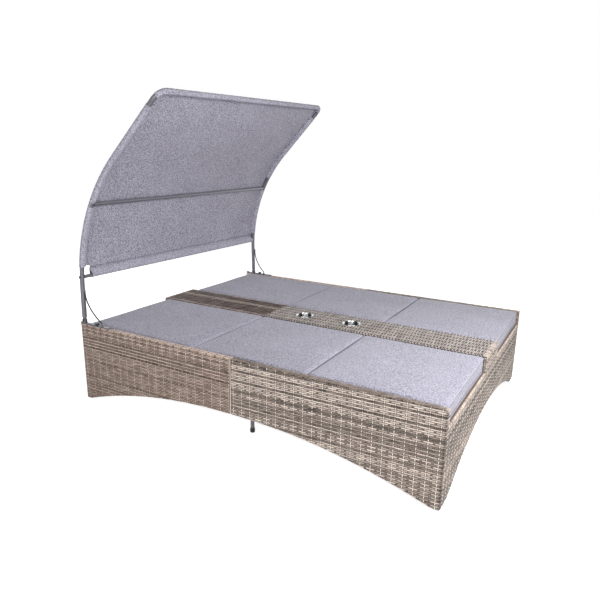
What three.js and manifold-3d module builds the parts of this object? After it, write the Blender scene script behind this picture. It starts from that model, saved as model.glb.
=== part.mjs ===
// A double outdoor daybed in woven flat strand over a steel frame, with six seat cushions, two reclining
// backrests on folding stays, a middle console with two cup holders, and a tilting fabric canopy.
// Millimetres, +Z up. The origin is on the floor under the middle of the bed: the canopy stands at -X,
// the head end, and the cushions run to +X, the foot end. The near side is -Y and the far side is +Y.
import * as THREE from 'three';
import { mergeVertices } from 'three/addons/utils/BufferGeometryUtils.js';
import Module from 'manifold-3d';

const wasm = await Module();
wasm.setup();

// Overall size of the bed, and the clearances between its pieces
const BED_LENGTH = 2000;
const BED_WIDTH = 1580;
const RAIL_TOP = 434;
const SEAT_CLEARANCE = 0.3;
const BORE_CLEARANCE = 0.6;
const MODULE_GAP = 1.2;
const CUT_OVERRUN = 5;

// Woven panels: the skin, the side rails and the arches cut in their lower edges
const SKIN = 6;
const RAIL_WIDTH = 30;
const PANEL_LIFT = 3;
const SIDE_ARCH_RISE = 154;
const SIDE_FOOT_LENGTH = 30;
const END_ARCH_RISE = 148;
const END_FOOT_LENGTH = 96;
const ARCH_POWER_SHARE = 2.2;
const ARCH_STEPS = 10;
const LIP_HEIGHT = 10;
const LIP_DEPTH = 24;

// Console between the two rows, and its cup holders
const CONSOLE_WIDTH = 270;
const CUP_HEAD_SETBACK = 197;
const CUP_FOOT_SETBACK = 492;
const CUP_RADIUS = 42;
const CUP_TAPER = 3;
const CUP_DEPTH = 70;
const CUP_WALL = 1.5;
const CUP_FLANGE = 8;
const CUP_CLEARANCE = 1;

// Cushions and the woven decks that they lie on
const CUSHION_THICKNESS = 80;
const HEAD_CUSHION_LENGTH = 713;
const MIDDLE_CUSHION_LENGTH = 626;
const CUSHION_GAP = 4;
const CUSHION_SIDE_GAP = 2.5;
const HEAD_INSET = 35;
const FOOT_INSET = 15;
const CUSHION_CROWN = 7;
const CUSHION_DRAW = 4;
const CUSHION_EDGE = 4;
const CUSHION_POWER_SHARE = 4;
const DECK_THICKNESS = 12;
const DECK_EDGE_GAP = 3;

// Welded steel frames of the four modules
const FRAME_TUBE = 25;
const FRAME_HEIGHT = 35;
const FRAME_WALL = 1.5;
const INNER_TUBE = 35;
const INNER_TUBE_LAP = 10;
const CROSS_HEIGHT = 25;
const CROSS_LAP = 5;
const RAIL_TUBE_HEIGHT = 24;
const DRAIN = 6;
const FRAME_MIDDLE_X = 490;
const LEDGE_DEPTH = 18;
const LEDGE_HEIGHT = 4;
const GLIDE_HEIGHT = 6;
const GLIDE_INSET = 2;

// Round support legs under the middle seam
const LEG_RADIUS = 10;
const LEG_WALL = 1.5;
const LEG_OUTER_INSET = 155;
const LEG_INNER_INSET = 65;
const CAP_HEIGHT = 22;
const CAP_WALL = 2;
const CAP_FLOOR = 3;

// Reclining backrests: their hinge, their frame, and the folding stay that props each one on its rack
const HINGE_SETBACK = 6;
const HINGE_ROD_RADIUS = 6;
const LUG_RADIUS = 10;
const LUG_WIDTH = 10;
const LUG_GAP = 3;
const HINGE_REACH = 12;
const BACK_TUBE = 20;
const BACK_SIDE_GAP = 6;
const BACK_FOLD_GAP = 4;
const SEAT_FOLD_GAP = 24;
const STAY_HEAD_GAP = 29.7;
const STAY_RADIUS = 5;
const STAY_SIDE_GAP = 15;
const STAY_BAR_OVERHANG = 8;
const BACK_SLAT_REACH = 190;
const RACK_WIDTH = 10;
const RACK_SIDE_GAP = 12;
const RACK_OVERRUN = 18;
const RACK_NOTCHES = 6;
const NOTCH_DEPTH = 7;
const NOTCH_WIDTH = 16;
const RACK_TIE = 14;
const RACK_TIE_HEIGHT = 4;

// Canopy: the bent tube, its two bars, the brackets on the rails and the fabric
const POST_X_INSET = 39;
const POST_RADIUS = 12.5;
const POST_WALL = 1.5;
const CANOPY_BEND_RADIUS = 950;
const CANOPY_LEAN = 45.2;
const CANOPY_TOP = 1625;
const CANOPY_DROP = 985;
const CANOPY_RACK = 1.5;
const RACK_HEIGHT = 1200;
const CORNER_RADIUS = 55;
const BRACKET_LENGTH = 216;
const BRACKET_THICKNESS = 4;
const BRACKET_SIDE_GAP = 2;
const END_LIP_HEIGHT = 5;
const END_LIP_LENGTH = 8;
const PIVOT_HEIGHT = 14;
const EAR_RADIUS = 10;
const EAR_THICKNESS = 4;
const EAR_GAP = 0.5;
const TONGUE_RADIUS = 9;
const TONGUE_THICKNESS = 8;
const TONGUE_SPREAD = 12;
const TUBE_FOOT_RISE = 17;
const BOLT_RADIUS = 4;
const BOLT_HEAD_RADIUS = 7;
const BOLT_HEAD_HEIGHT = 3;
const BAR_RADIUS = 9.5;
const LOWER_BAR_Z = 690;
const MIDDLE_BAR_Z = 1080;
const FABRIC_GAP = 0.4;
const FABRIC = 3;
const HEM_HEIGHT = 40;
const HEM_END_GAP = 11;
const SLEEVE_NOTCH = 15;
const SLEEVE_CORNER_GAP = 48;
const TOP_SLEEVE_INSET = 12;
const SLIT_MARGIN = 5;
const KNOB_INSET = 115;
const KNOB_RADIUS = 12;
const KNOB_HEIGHT = 7;
const KNOB_BOSS_RADIUS = 6;
const KNOB_BOSS_HEIGHT = 3;
const KNOB_LOBE = 1.2;
const KNOB_LOBES = 6;
const CORD_TAB_INSET = 152;
const CORD_TAB_LENGTH = 12;
const CORD_TAB_HEIGHT = 12;
const CAP_BOLT_INSET = 206;
const CORD_CLIP_Z = 615;
const CORD_CLIP_HEIGHT = 12;
const CORD_CLIP_REACH = 9;

// Check cords: their diameter, and the route of each one's centre line, as shares of the way in X and Z
// from the clip on the post down to the tab on the bracket
const CORD_RADIUS = 3.5;
const CORD_SIDES = 8;
const CORD_STEPS = 15;
const CORD_TOP_GAP = 0.5;
const CORD_FOOT_GAP = 3.8;
const CORD_ROUTE_SHARES = [
  [0, 0],
  [0.002, 0.082],
  [0.048, 0.237],
  [0.157, 0.413],
  [0.318, 0.582],
  [0.507, 0.73],
  [0.702, 0.853],
  [0.86, 0.935],
  [1, 1],
];

// Face counts of round pieces
const TUBE_SIDES = 12;
const ROD_SIDES = 12;
const CUP_SIDES = 24;
const BEND_STEPS = 9;
const CORNER_STEPS = 4;
const CUSHION_STEPS = 6;
const CUSHION_SIDE_STEPS = 4;
const KNOB_LOBE_STEPS = 4;

// Points closer together than this are one point
const MERGE_TOLERANCE = 1e-4;

// Places worked out from the sizes above
const HALF_LENGTH = BED_LENGTH / 2;
const HALF_WIDTH = BED_WIDTH / 2;
const HALF_CONSOLE = CONSOLE_WIDTH / 2;
const HALF_GAP = MODULE_GAP / 2;
const DECK_TOP = RAIL_TOP - CUSHION_THICKNESS;
const DECK_BOTTOM = DECK_TOP - DECK_THICKNESS;
const FRAME_TOP = DECK_BOTTOM - SEAT_CLEARANCE;
const FRAME_BOTTOM = FRAME_TOP - FRAME_HEIGHT;
const FRAME_OUTER_Y = HALF_WIDTH - SKIN - SEAT_CLEARANCE;
const FRAME_INNER_Y = FRAME_OUTER_Y - FRAME_TUBE;
const FRAME_END_X = HALF_LENGTH - SKIN - SEAT_CLEARANCE;
const RAIL_INNER_Y = HALF_WIDTH - RAIL_WIDTH;
const INNER_LOW_Y = HALF_CONSOLE - INNER_TUBE_LAP;
const INNER_HIGH_Y = INNER_LOW_Y + INNER_TUBE;
const HEAD_GAP_X = HEAD_INSET - HALF_LENGTH + HEAD_CUSHION_LENGTH;
const CUP_HEAD_X = HEAD_GAP_X + CUP_HEAD_SETBACK;
const CUP_FOOT_X = HEAD_GAP_X + CUP_FOOT_SETBACK;
const HINGE_X = HEAD_GAP_X + CUSHION_GAP / 2 - HINGE_SETBACK;
const HINGE_Z = FRAME_TOP - BACK_TUBE / 2;
const CROSS_TOP = FRAME_BOTTOM + CROSS_LAP;
const BACK_OUTER_Y = FRAME_INNER_Y - BACK_SIDE_GAP;
const BACK_INNER_Y = INNER_HIGH_Y + BACK_SIDE_GAP;
const BACK_FOOT_X = HINGE_X - HINGE_REACH;
const BACK_HEAD_X = FRAME_TUBE + DECK_EDGE_GAP - FRAME_END_X;
const STAY_REACH = (HINGE_X - BACK_HEAD_X - BACK_TUBE - STAY_HEAD_GAP) / 2;
const STAY_PIVOT_X = HINGE_X - STAY_REACH;
const STAY_FOOT_X = STAY_PIVOT_X - STAY_REACH;
const STAY_OUTER_Y = BACK_OUTER_Y - BACK_TUBE - STAY_SIDE_GAP;
const STAY_INNER_Y = BACK_INNER_Y + BACK_TUBE + STAY_SIDE_GAP;
const LEG_X = HALF_GAP + FRAME_TUBE / 2;
const LEG_OUTER_Y = HALF_WIDTH - LEG_OUTER_INSET;
const LEG_INNER_Y = HALF_CONSOLE + LEG_INNER_INSET;
const POST_X = POST_X_INSET - HALF_LENGTH;
const POST_Y = HALF_WIDTH - RAIL_WIDTH / 2;
const POST_STRAIGHT_TOP = CANOPY_TOP - CANOPY_DROP;
const BRACKET_BOTTOM = RAIL_TOP + SEAT_CLEARANCE;
const BRACKET_TOP = BRACKET_BOTTOM + BRACKET_THICKNESS;
const PIVOT_Z = BRACKET_TOP + PIVOT_HEIGHT;
const CORD_TAB_X = CORD_TAB_INSET - HALF_LENGTH;
const CORD_TAB_TOP = BRACKET_TOP + CORD_TAB_HEIGHT - SEAT_CLEARANCE;
const LEAN_ANGLE = THREE.MathUtils.degToRad(CANOPY_LEAN);
const RACK_ANGLE = THREE.MathUtils.degToRad(CANOPY_RACK);
const SLEEVE_BOTTOM = LOWER_BAR_Z + HEM_HEIGHT + SLEEVE_NOTCH;

// Solids, joined and cut
function toSolid(geometry) {
  const bare = geometry.clone();
  bare.deleteAttribute('normal');
  bare.deleteAttribute('uv');
  const merged = mergeVertices(bare, MERGE_TOLERANCE);
  const vertProperties = merged.attributes.position.array;
  const triVerts = new Uint32Array(merged.index.array);
  return new wasm.Manifold(new wasm.Mesh({ numProp: 3, vertProperties, triVerts }));
}

function toGeometry(solid) {
  const mesh = solid.getMesh();
  const geometry = new THREE.BufferGeometry();
  geometry.setAttribute('position', new THREE.BufferAttribute(mesh.vertProperties, 3));
  geometry.setIndex(new THREE.BufferAttribute(mesh.triVerts, 1));
  const flat = geometry.toNonIndexed();
  flat.computeVertexNormals();
  return flat;
}

function join(...geometries) {
  let whole = toSolid(geometries[0]);
  for (const geometry of geometries.slice(1)) whole = whole.add(toSolid(geometry));
  return toGeometry(whole);
}

function cut(geometry, ...cutters) {
  let rest = toSolid(geometry);
  for (const cutter of cutters) rest = rest.subtract(toSolid(cutter));
  return toGeometry(rest);
}

// Puts every point exactly on the nearer of two places along an axis, so that faces in one plane match
function square(geometry, axis, a, b) {
  const place = geometry.attributes.position;
  for (let i = 0; i < place.count; i += 1) {
    const at = place.getComponent(i, axis);
    place.setComponent(i, axis, Math.abs(at - a) < Math.abs(at - b) ? a : b);
  }
  return geometry;
}

// Plain shapes, each between two places along an axis
function block(x0, x1, y0, y1, z0, z1) {
  const box = new THREE.BoxGeometry(Math.abs(x1 - x0), Math.abs(y1 - y0), Math.abs(z1 - z0));
  box.translate((x0 + x1) / 2, (y0 + y1) / 2, (z0 + z1) / 2);
  return square(square(square(box, 0, x0, x1), 1, y0, y1), 2, z0, z1);
}

function rodAlongY(radius, x, z, y0, y1, sides = ROD_SIDES) {
  const rod = new THREE.CylinderGeometry(radius, radius, Math.abs(y1 - y0), sides);
  return rod.translate(x, (y0 + y1) / 2, z);
}

function rodAlongX(radius, y, z, x0, x1, sides = ROD_SIDES) {
  const rod = new THREE.CylinderGeometry(radius, radius, Math.abs(x1 - x0), sides);
  return rod.rotateZ(Math.PI / 2).translate((x0 + x1) / 2, y, z);
}

function rodAlongZ(radius, x, y, z0, z1, sides = ROD_SIDES) {
  const rod = new THREE.CylinderGeometry(radius, radius, Math.abs(z1 - z0), sides);
  return rod.rotateX(Math.PI / 2).translate(x, y, (z0 + z1) / 2);
}

// A turned piece from its profile in radius and height
function lathe(profile, sides, x, y) {
  const points = profile.map(([r, z]) => new THREE.Vector2(r, z));
  return new THREE.LatheGeometry(points, sides).rotateX(Math.PI / 2).translate(x, y, 0);
}

function outline(points) {
  return new THREE.Shape(points.map(([across, up]) => new THREE.Vector2(across, up)));
}

// A plate whose outline is in X and Z, between two places in Y
function plateAlongY(points, y0, y1) {
  const depth = Math.abs(y1 - y0);
  const plate = new THREE.ExtrudeGeometry(outline(points), { depth, bevelEnabled: false, steps: 1 });
  plate.rotateX(Math.PI / 2).translate(0, Math.max(y0, y1), 0);
  return square(plate, 1, y0, y1);
}

// A plate whose outline is in Y and Z, between two places in X
function plateAlongX(points, x0, x1) {
  const depth = Math.abs(x1 - x0);
  const plate = new THREE.ExtrudeGeometry(outline(points), { depth, bevelEnabled: false, steps: 1 });
  plate.rotateX(Math.PI / 2).rotateZ(Math.PI / 2).translate(Math.min(x0, x1), 0, 0);
  return square(plate, 0, x0, x1);
}

// A path that has a ring of the swept section at each of its listed places
class StationPath extends THREE.Curve {
  constructor(places) {
    super();
    this.places = places;
  }

  getPoint(share, target = new THREE.Vector3()) {
    const step = share * (this.places.length - 1);
    const start = Math.min(Math.floor(step), this.places.length - 2);
    return target.lerpVectors(this.places[start], this.places[start + 1], step - start);
  }

  getUtoTmapping(share) {
    return share;
  }
}

function sweep(places, radius, sides) {
  const section = new THREE.Shape();
  section.absarc(0, 0, radius, 0, 2 * Math.PI);
  const corners = section.getSpacedPoints(sides).slice(0, sides);
  const extrudePath = new StationPath(places);
  const settings = { extrudePath, steps: places.length - 1, bevelEnabled: false };
  return new THREE.ExtrudeGeometry(new THREE.Shape(corners), settings);
}

function hollowSweep(places, radius, wall, sides) {
  const settings = { steps: places.length - 1, bevelEnabled: false };
  settings.extrudePath = new StationPath(places);
  const section = new THREE.Shape();
  section.absarc(0, 0, radius, 0, 2 * Math.PI);
  const bore = new THREE.Path();
  bore.absarc(0, 0, radius - wall, 0, 2 * Math.PI);
  const shape = new THREE.Shape(section.getSpacedPoints(sides).slice(0, sides));
  shape.holes.push(new THREE.Path(bore.getSpacedPoints(sides).slice(0, sides)));
  return new THREE.ExtrudeGeometry(shape, settings);
}

// Steel tubes of rectangular section, welded into one hollow frame with a drain hole in its first tube
function weldTubes(tubes) {
  const outers = tubes.map((t) => block(...t));
  const inners = tubes.map(([x0, x1, y0, y1, z0, z1]) => {
    const [lowY, highY] = [Math.min(y0, y1) + FRAME_WALL, Math.max(y0, y1) - FRAME_WALL];
    return block(x0 + FRAME_WALL, x1 - FRAME_WALL, lowY, highY, z0 + FRAME_WALL, z1 - FRAME_WALL);
  });
  const [x0, x1, y0, y1, z0, z1] = tubes[0];
  const [x, y, half] = [(x0 + x1) / 2, (y0 + y1) / 2, DRAIN / 2];
  const drain = block(x - half, x + half, y - half, y + half, z0 - CUT_OVERRUN, (z0 + z1) / 2);
  return cut(join(...outers), ...inners, drain);
}

// Woven panels
function archHeight(distance, half, rise) {
  const share = Math.min(Math.abs(distance) / half, 1);
  return PANEL_LIFT + rise * (1 - Math.pow(share, ARCH_POWER_SHARE));
}

// Places along an arched lower edge from start to end, in even steps over the arch itself
function archPlaces(start, end, half, rise) {
  const [low, high] = [Math.max(start, -half), Math.min(end, half)];
  const places = [];
  if (start < low) places.push([start, PANEL_LIFT]);
  for (let i = 0; i <= ARCH_STEPS; i += 1) {
    const at = low + ((high - low) * i) / ARCH_STEPS;
    places.push([at, archHeight(at, half, rise)]);
  }
  if (end > high) places.push([end, PANEL_LIFT]);
  return places;
}

function archLip(start, end, half, rise) {
  const lower = archPlaces(start, end, half, rise);
  const upper = lower.map(([at, z]) => [at, z + LIP_HEIGHT]).reverse();
  return [...lower, ...upper];
}

// One module's side: the outer skin with its arch, the rail's top, the rail's inner skin, and the lip
function sidePanel(side, start, end) {
  const half = HALF_LENGTH - SIDE_FOOT_LENGTH;
  const lower = archPlaces(start, end, half, SIDE_ARCH_RISE);
  const [railStart, railEnd] = [Math.max(start, SKIN - HALF_LENGTH), Math.min(end, HALF_LENGTH - SKIN)];
  const [lipStart, lipEnd] = [Math.max(start, LIP_DEPTH - half), Math.min(end, half - LIP_DEPTH)];
  const outer = side * HALF_WIDTH;
  const inner = side * RAIL_INNER_Y;
  const skin = plateAlongY([...lower, [end, RAIL_TOP], [start, RAIL_TOP]], outer, outer - side * SKIN);
  const top = block(railStart, railEnd, outer, inner, RAIL_TOP - SKIN, RAIL_TOP);
  const innerSkin = block(railStart, railEnd, inner, inner + side * SKIN, DECK_BOTTOM, RAIL_TOP);
  const lipPlaces = archLip(lipStart, lipEnd, half, SIDE_ARCH_RISE);
  const lip = plateAlongY(lipPlaces, outer, outer - side * LIP_DEPTH);
  return join(skin, top, innerSkin, lip);
}

// One end's panel from y0 to y1, whose top drops to the deck where a cushion lies
function endPanel(end, y0, y1) {
  const half = HALF_WIDTH - END_FOOT_LENGTH;
  const lower = archPlaces(y0, y1, half, END_ARCH_RISE);
  const upper = [[y0, RAIL_TOP]];
  for (const edge of [-RAIL_INNER_Y, -HALF_CONSOLE, HALF_CONSOLE, RAIL_INNER_Y]) {
    if (edge <= y0 || edge >= y1) continue;
    const rising = edge === -HALF_CONSOLE || edge === RAIL_INNER_Y;
    const [before, after] = rising ? [DECK_TOP, RAIL_TOP] : [RAIL_TOP, DECK_TOP];
    upper.push([edge, before], [edge, after]);
  }
  upper.push([y1, RAIL_TOP]);
  if (y0 > HALF_CONSOLE) upper[0][1] = DECK_TOP;
  const face = end * HALF_LENGTH;
  const skin = plateAlongX([...lower, ...upper.reverse()], face, face - end * SKIN);
  const lipStart = Math.max(y0, LIP_DEPTH - half);
  const lipEnd = Math.min(y1, half - LIP_DEPTH);
  const lipPlaces = archLip(lipStart, lipEnd, half, END_ARCH_RISE);
  return join(skin, plateAlongX(lipPlaces, face, face - end * LIP_DEPTH));
}

// Console covers: channels that stand on the frames' inner tubes
function consoleCover(x0, x1, cups) {
  const [inner, base] = [HALF_CONSOLE - SKIN, FRAME_TOP + SEAT_CLEARANCE];
  const channel = cut(
    block(x0, x1, -HALF_CONSOLE, HALF_CONSOLE, base, RAIL_TOP),
    block(x0 - CUT_OVERRUN, x1 + CUT_OVERRUN, -inner, inner, base - CUT_OVERRUN, RAIL_TOP - SKIN),
  );
  if (!cups.length) return channel;
  const radius = CUP_RADIUS + CUP_CLEARANCE;
  const low = RAIL_TOP - SKIN - CUT_OVERRUN;
  return cut(channel, ...cups.map((x) => rodAlongZ(radius, x, 0, low, RAIL_TOP + CUT_OVERRUN, CUP_SIDES)));
}

function cupHolder(x) {
  const top = RAIL_TOP + SEAT_CLEARANCE + CUP_WALL;
  const floor = top - CUP_DEPTH;
  const foot = CUP_RADIUS - CUP_TAPER;
  const profile = [
    [0, floor],
    [foot, floor],
    [CUP_RADIUS, top - CUP_WALL],
    [CUP_RADIUS + CUP_FLANGE, top - CUP_WALL],
    [CUP_RADIUS + CUP_FLANGE, top],
    [CUP_RADIUS - CUP_WALL, top],
    [foot - CUP_WALL, floor + CUP_WALL],
    [0, floor + CUP_WALL],
  ];
  return lathe(profile, CUP_SIDES, x, 0);
}

// A cushion: a crowned top, sides that pull in between the corners, and softened top and bottom edges
function cushion(x0, x1, y0, y1) {
  const [halfX, halfY] = [Math.abs(x1 - x0) / 2, Math.abs(y1 - y0) / 2];
  const halfZ = CUSHION_THICKNESS / 2;
  const form = new THREE.BoxGeometry(2, 2, 2, CUSHION_STEPS, CUSHION_STEPS, CUSHION_SIDE_STEPS);
  const place = form.attributes.position;
  for (let i = 0; i < place.count; i += 1) {
    const [u, v, w] = [place.getX(i), place.getY(i), place.getZ(i)];
    const edge = CUSHION_EDGE * w ** CUSHION_POWER_SHARE;
    const drawX = CUSHION_DRAW * (1 - v * v);
    const drawY = CUSHION_DRAW * (1 - u * u);
    const middle = (1 - u ** CUSHION_POWER_SHARE) * (1 - v ** CUSHION_POWER_SHARE);
    const crown = w === 1 ? CUSHION_CROWN * middle : 0;
    place.setXYZ(i, u * (halfX - edge - drawX), v * (halfY - edge - drawY), w * halfZ + crown);
  }
  const bottom = DECK_TOP + SEAT_CLEARANCE;
  return form.translate((x0 + x1) / 2, (y0 + y1) / 2, bottom + halfZ);
}

// Frames of the modules
function frameTubes(side, end) {
  const [outer, inner] = [side * FRAME_OUTER_Y, side * FRAME_INNER_Y];
  const far = end * FRAME_END_X;
  const seam = end * HALF_GAP;
  const span = (a, b) => [Math.min(a, b), Math.max(a, b)];
  const [endIn, seamIn] = [far - end * FRAME_TUBE, seam + end * FRAME_TUBE];
  const railInner = side * (RAIL_INNER_Y + SKIN + SEAT_CLEARANCE);
  const railZ = RAIL_TOP - SKIN - SEAT_CLEARANCE - RAIL_TUBE_HEIGHT;
  const low = side * INNER_LOW_Y;
  const archTop = archHeight(0, HALF_LENGTH - SIDE_FOOT_LENGTH, SIDE_ARCH_RISE);
  const seamFoot = archTop + LIP_HEIGHT + SEAT_CLEARANCE;
  const tubes = [
    [...span(far, seam), outer, inner, FRAME_BOTTOM, FRAME_TOP],
    [...span(far, endIn), outer, low, FRAME_BOTTOM, FRAME_TOP],
    [...span(seam, seamIn), outer, low, FRAME_BOTTOM, FRAME_TOP],
    [...span(far, seam), side * INNER_HIGH_Y, low, FRAME_BOTTOM, FRAME_TOP],
    [...span(far, endIn), outer, inner, GLIDE_HEIGHT + SEAT_CLEARANCE, FRAME_BOTTOM + CROSS_LAP],
    [...span(seam, seamIn), outer, inner, seamFoot, FRAME_BOTTOM + CROSS_LAP],
    [...span(far, seam), outer, railInner, railZ, railZ + RAIL_TUBE_HEIGHT],
    [...span(far, endIn), outer, railInner, FRAME_TOP - CROSS_LAP, railZ + CROSS_LAP],
    [...span(seam, seamIn), outer, railInner, FRAME_TOP - CROSS_LAP, railZ + CROSS_LAP],
  ];
  return tubes;
}

function lug(x, y, side, armX) {
  const [y0, y1] = [y, y - side * LUG_WIDTH];
  const round = rodAlongY(LUG_RADIUS, x, HINGE_Z, y0, y1);
  return join(round, block(x, armX, y0, y1, HINGE_Z - LUG_RADIUS, HINGE_Z + LUG_RADIUS));
}

function hingeBore() {
  const radius = HINGE_ROD_RADIUS + BORE_CLEARANCE;
  return rodAlongY(radius, HINGE_X, HINGE_Z, -HALF_WIDTH, HALF_WIDTH);
}

function headFrame(side) {
  const [outer, low] = [side * FRAME_OUTER_Y, side * INNER_LOW_Y];
  const seatCross = HINGE_X + HINGE_REACH;
  const rackHead = STAY_FOOT_X - RACK_OVERRUN;
  const rackFoot = STAY_PIVOT_X + RACK_OVERRUN;
  const crossZ = [CROSS_TOP - CROSS_HEIGHT, CROSS_TOP];
  const tubes = [
    ...frameTubes(side, -1),
    [seatCross, seatCross + FRAME_TUBE, outer, low, FRAME_BOTTOM, FRAME_TOP],
    [rackHead, rackHead + FRAME_TUBE, outer, low, ...crossZ],
    [rackFoot - FRAME_TUBE, rackFoot, outer, low, ...crossZ],
  ];
  const ledgeTop = FRAME_TOP - BACK_TUBE - SEAT_CLEARANCE;
  const endIn = FRAME_TUBE - FRAME_END_X;
  const ledge = block(
    endIn - FRAME_WALL,
    endIn + LEDGE_DEPTH,
    side * FRAME_INNER_Y,
    side * INNER_HIGH_Y,
    ledgeTop - LEDGE_HEIGHT,
    ledgeTop,
  );
  const outerLug = lug(HINGE_X, side * (FRAME_INNER_Y - LUG_GAP), side, seatCross + FRAME_WALL / 2);
  const innerLug = lug(HINGE_X, side * (BACK_INNER_Y + LUG_WIDTH), side, seatCross + FRAME_WALL / 2);
  return cut(join(weldTubes(tubes), ledge, outerLug, innerLug), hingeBore());
}

function footFrame(side) {
  const middle = [FRAME_MIDDLE_X, FRAME_MIDDLE_X + FRAME_TUBE];
  const [outer, low] = [side * FRAME_OUTER_Y, side * INNER_LOW_Y];
  return weldTubes([...frameTubes(side, 1), [...middle, outer, low, FRAME_BOTTOM, FRAME_TOP]]);
}

function cornerGlide(side, end) {
  const [x0, x1] = [end * (FRAME_END_X - GLIDE_INSET), end * (FRAME_END_X - FRAME_TUBE + GLIDE_INSET)];
  const [y0, y1] = [side * (FRAME_OUTER_Y - GLIDE_INSET), side * (FRAME_INNER_Y + GLIDE_INSET)];
  return block(x0, x1, y0, y1, 0, GLIDE_HEIGHT);
}

// Support legs and their end caps
function supportLeg(y) {
  const [low, high] = [CAP_FLOOR + SEAT_CLEARANCE, FRAME_BOTTOM - SEAT_CLEARANCE];
  const bore = LEG_RADIUS - LEG_WALL;
  const profile = [[bore, low], [LEG_RADIUS, low], [LEG_RADIUS, high], [bore, high], [bore, low]];
  return lathe(profile, ROD_SIDES, LEG_X, y);
}

function legCap(y) {
  const socket = LEG_RADIUS + SEAT_CLEARANCE;
  const outer = socket + CAP_WALL;
  const shell = [[0, 0], [outer, 0], [outer, CAP_HEIGHT], [socket, CAP_HEIGHT]];
  return lathe([...shell, [socket, CAP_FLOOR], [0, CAP_FLOOR]], ROD_SIDES, LEG_X, y);
}

// Backrests and what props them
function backrestFrame(side) {
  const [z0, z1] = [FRAME_TOP - BACK_TUBE, FRAME_TOP];
  const [outer, inner] = [side * BACK_OUTER_Y, side * BACK_INNER_Y];
  const slat = HINGE_X - BACK_SLAT_REACH;
  const tubes = [
    [BACK_HEAD_X, BACK_FOOT_X, outer, outer - side * BACK_TUBE, z0, z1],
    [BACK_HEAD_X, BACK_FOOT_X, inner, inner + side * BACK_TUBE, z0, z1],
    [BACK_HEAD_X, BACK_HEAD_X + BACK_TUBE, outer, inner, z0, z1],
    [BACK_FOOT_X - BACK_TUBE, BACK_FOOT_X, outer, inner, z0, z1],
    [slat - BACK_TUBE, slat, outer, inner, z0, z1],
  ];
  const step = LUG_WIDTH + LUG_GAP;
  const armX = BACK_FOOT_X - FRAME_WALL / 2;
  const outerLug = lug(HINGE_X, side * (FRAME_INNER_Y - LUG_GAP - step), side, armX);
  const innerLug = lug(HINGE_X, side * (BACK_INNER_Y + LUG_WIDTH + step), side, armX);
  const radius = STAY_RADIUS + BORE_CLEARANCE;
  const [pivotOuter, pivotInner] = [outer + side * CUT_OVERRUN, inner - side * CUT_OVERRUN];
  const pivots = rodAlongY(radius, STAY_PIVOT_X, HINGE_Z, pivotOuter, pivotInner);
  return cut(join(weldTubes(tubes), outerLug, innerLug), hingeBore(), pivots);
}

function hingeRod(side) {
  const [outer, inner] = [side * (FRAME_INNER_Y - SEAT_CLEARANCE), side * (INNER_HIGH_Y + SEAT_CLEARANCE)];
  return rodAlongY(HINGE_ROD_RADIUS, HINGE_X, HINGE_Z, outer, inner);
}

function backrestStay(side) {
  const edge = BACK_TUBE / 2;
  const [pivotOuter, pivotInner] = [side * (BACK_OUTER_Y - edge), side * (BACK_INNER_Y + edge)];
  const footOuter = side * (STAY_OUTER_Y + STAY_BAR_OVERHANG);
  const footInner = side * (STAY_INNER_Y - STAY_BAR_OVERHANG);
  return join(
    rodAlongY(STAY_RADIUS, STAY_PIVOT_X, HINGE_Z, pivotOuter, pivotInner),
    rodAlongY(STAY_RADIUS, STAY_FOOT_X, HINGE_Z, footOuter, footInner),
    rodAlongX(STAY_RADIUS, side * STAY_OUTER_Y, HINGE_Z, STAY_PIVOT_X, STAY_FOOT_X),
    rodAlongX(STAY_RADIUS, side * STAY_INNER_Y, HINGE_Z, STAY_PIVOT_X, STAY_FOOT_X),
  );
}

// A ladder of two notched bars; the stay's foot bar rides over the tips of their teeth
function stayRack(side) {
  const [x0, x1] = [STAY_FOOT_X - RACK_OVERRUN, STAY_PIVOT_X + RACK_OVERRUN];
  const [low, top] = [CROSS_TOP + SEAT_CLEARANCE, HINGE_Z - STAY_RADIUS - SEAT_CLEARANCE];
  const outer = side * (STAY_OUTER_Y - RACK_SIDE_GAP);
  const inner = side * (STAY_INNER_Y + RACK_SIDE_GAP);
  const pitch = STAY_REACH / (RACK_NOTCHES + 1);
  const edge = [[x0, low], [x1, low], [x1, top]];
  for (let i = RACK_NOTCHES; i >= 1; i -= 1) {
    const at = STAY_FOOT_X + i * pitch;
    edge.push([at + NOTCH_WIDTH / 2, top], [at, top - NOTCH_DEPTH], [at - NOTCH_WIDTH / 2, top]);
  }
  edge.push([x0, top]);
  return join(
    plateAlongY(edge, outer, outer - side * RACK_WIDTH),
    plateAlongY(edge, inner, inner + side * RACK_WIDTH),
    block(x0, x0 + RACK_TIE, outer, inner, low, low + RACK_TIE_HEIGHT),
    block(x1 - RACK_TIE, x1, outer, inner, low, low + RACK_TIE_HEIGHT),
  );
}

// The canopy stands a little racked: its near side leans further forward than its far side
function racked(x, y, z) {
  const angle = (-RACK_ANGLE * y) / POST_Y;
  const [dx, dz] = [x - POST_X, z - RACK_HEIGHT];
  const newX = POST_X + dx * Math.cos(angle) + dz * Math.sin(angle);
  const newZ = RACK_HEIGHT + dz * Math.cos(angle) - dx * Math.sin(angle);
  return [newX, y, newZ];
}

function rack(geometry) {
  const place = geometry.attributes.position;
  for (let i = 0; i < place.count; i += 1) {
    place.setXYZ(i, ...racked(place.getX(i), place.getY(i), place.getZ(i)));
  }
  geometry.computeVertexNormals();
  return geometry;
}

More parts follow.
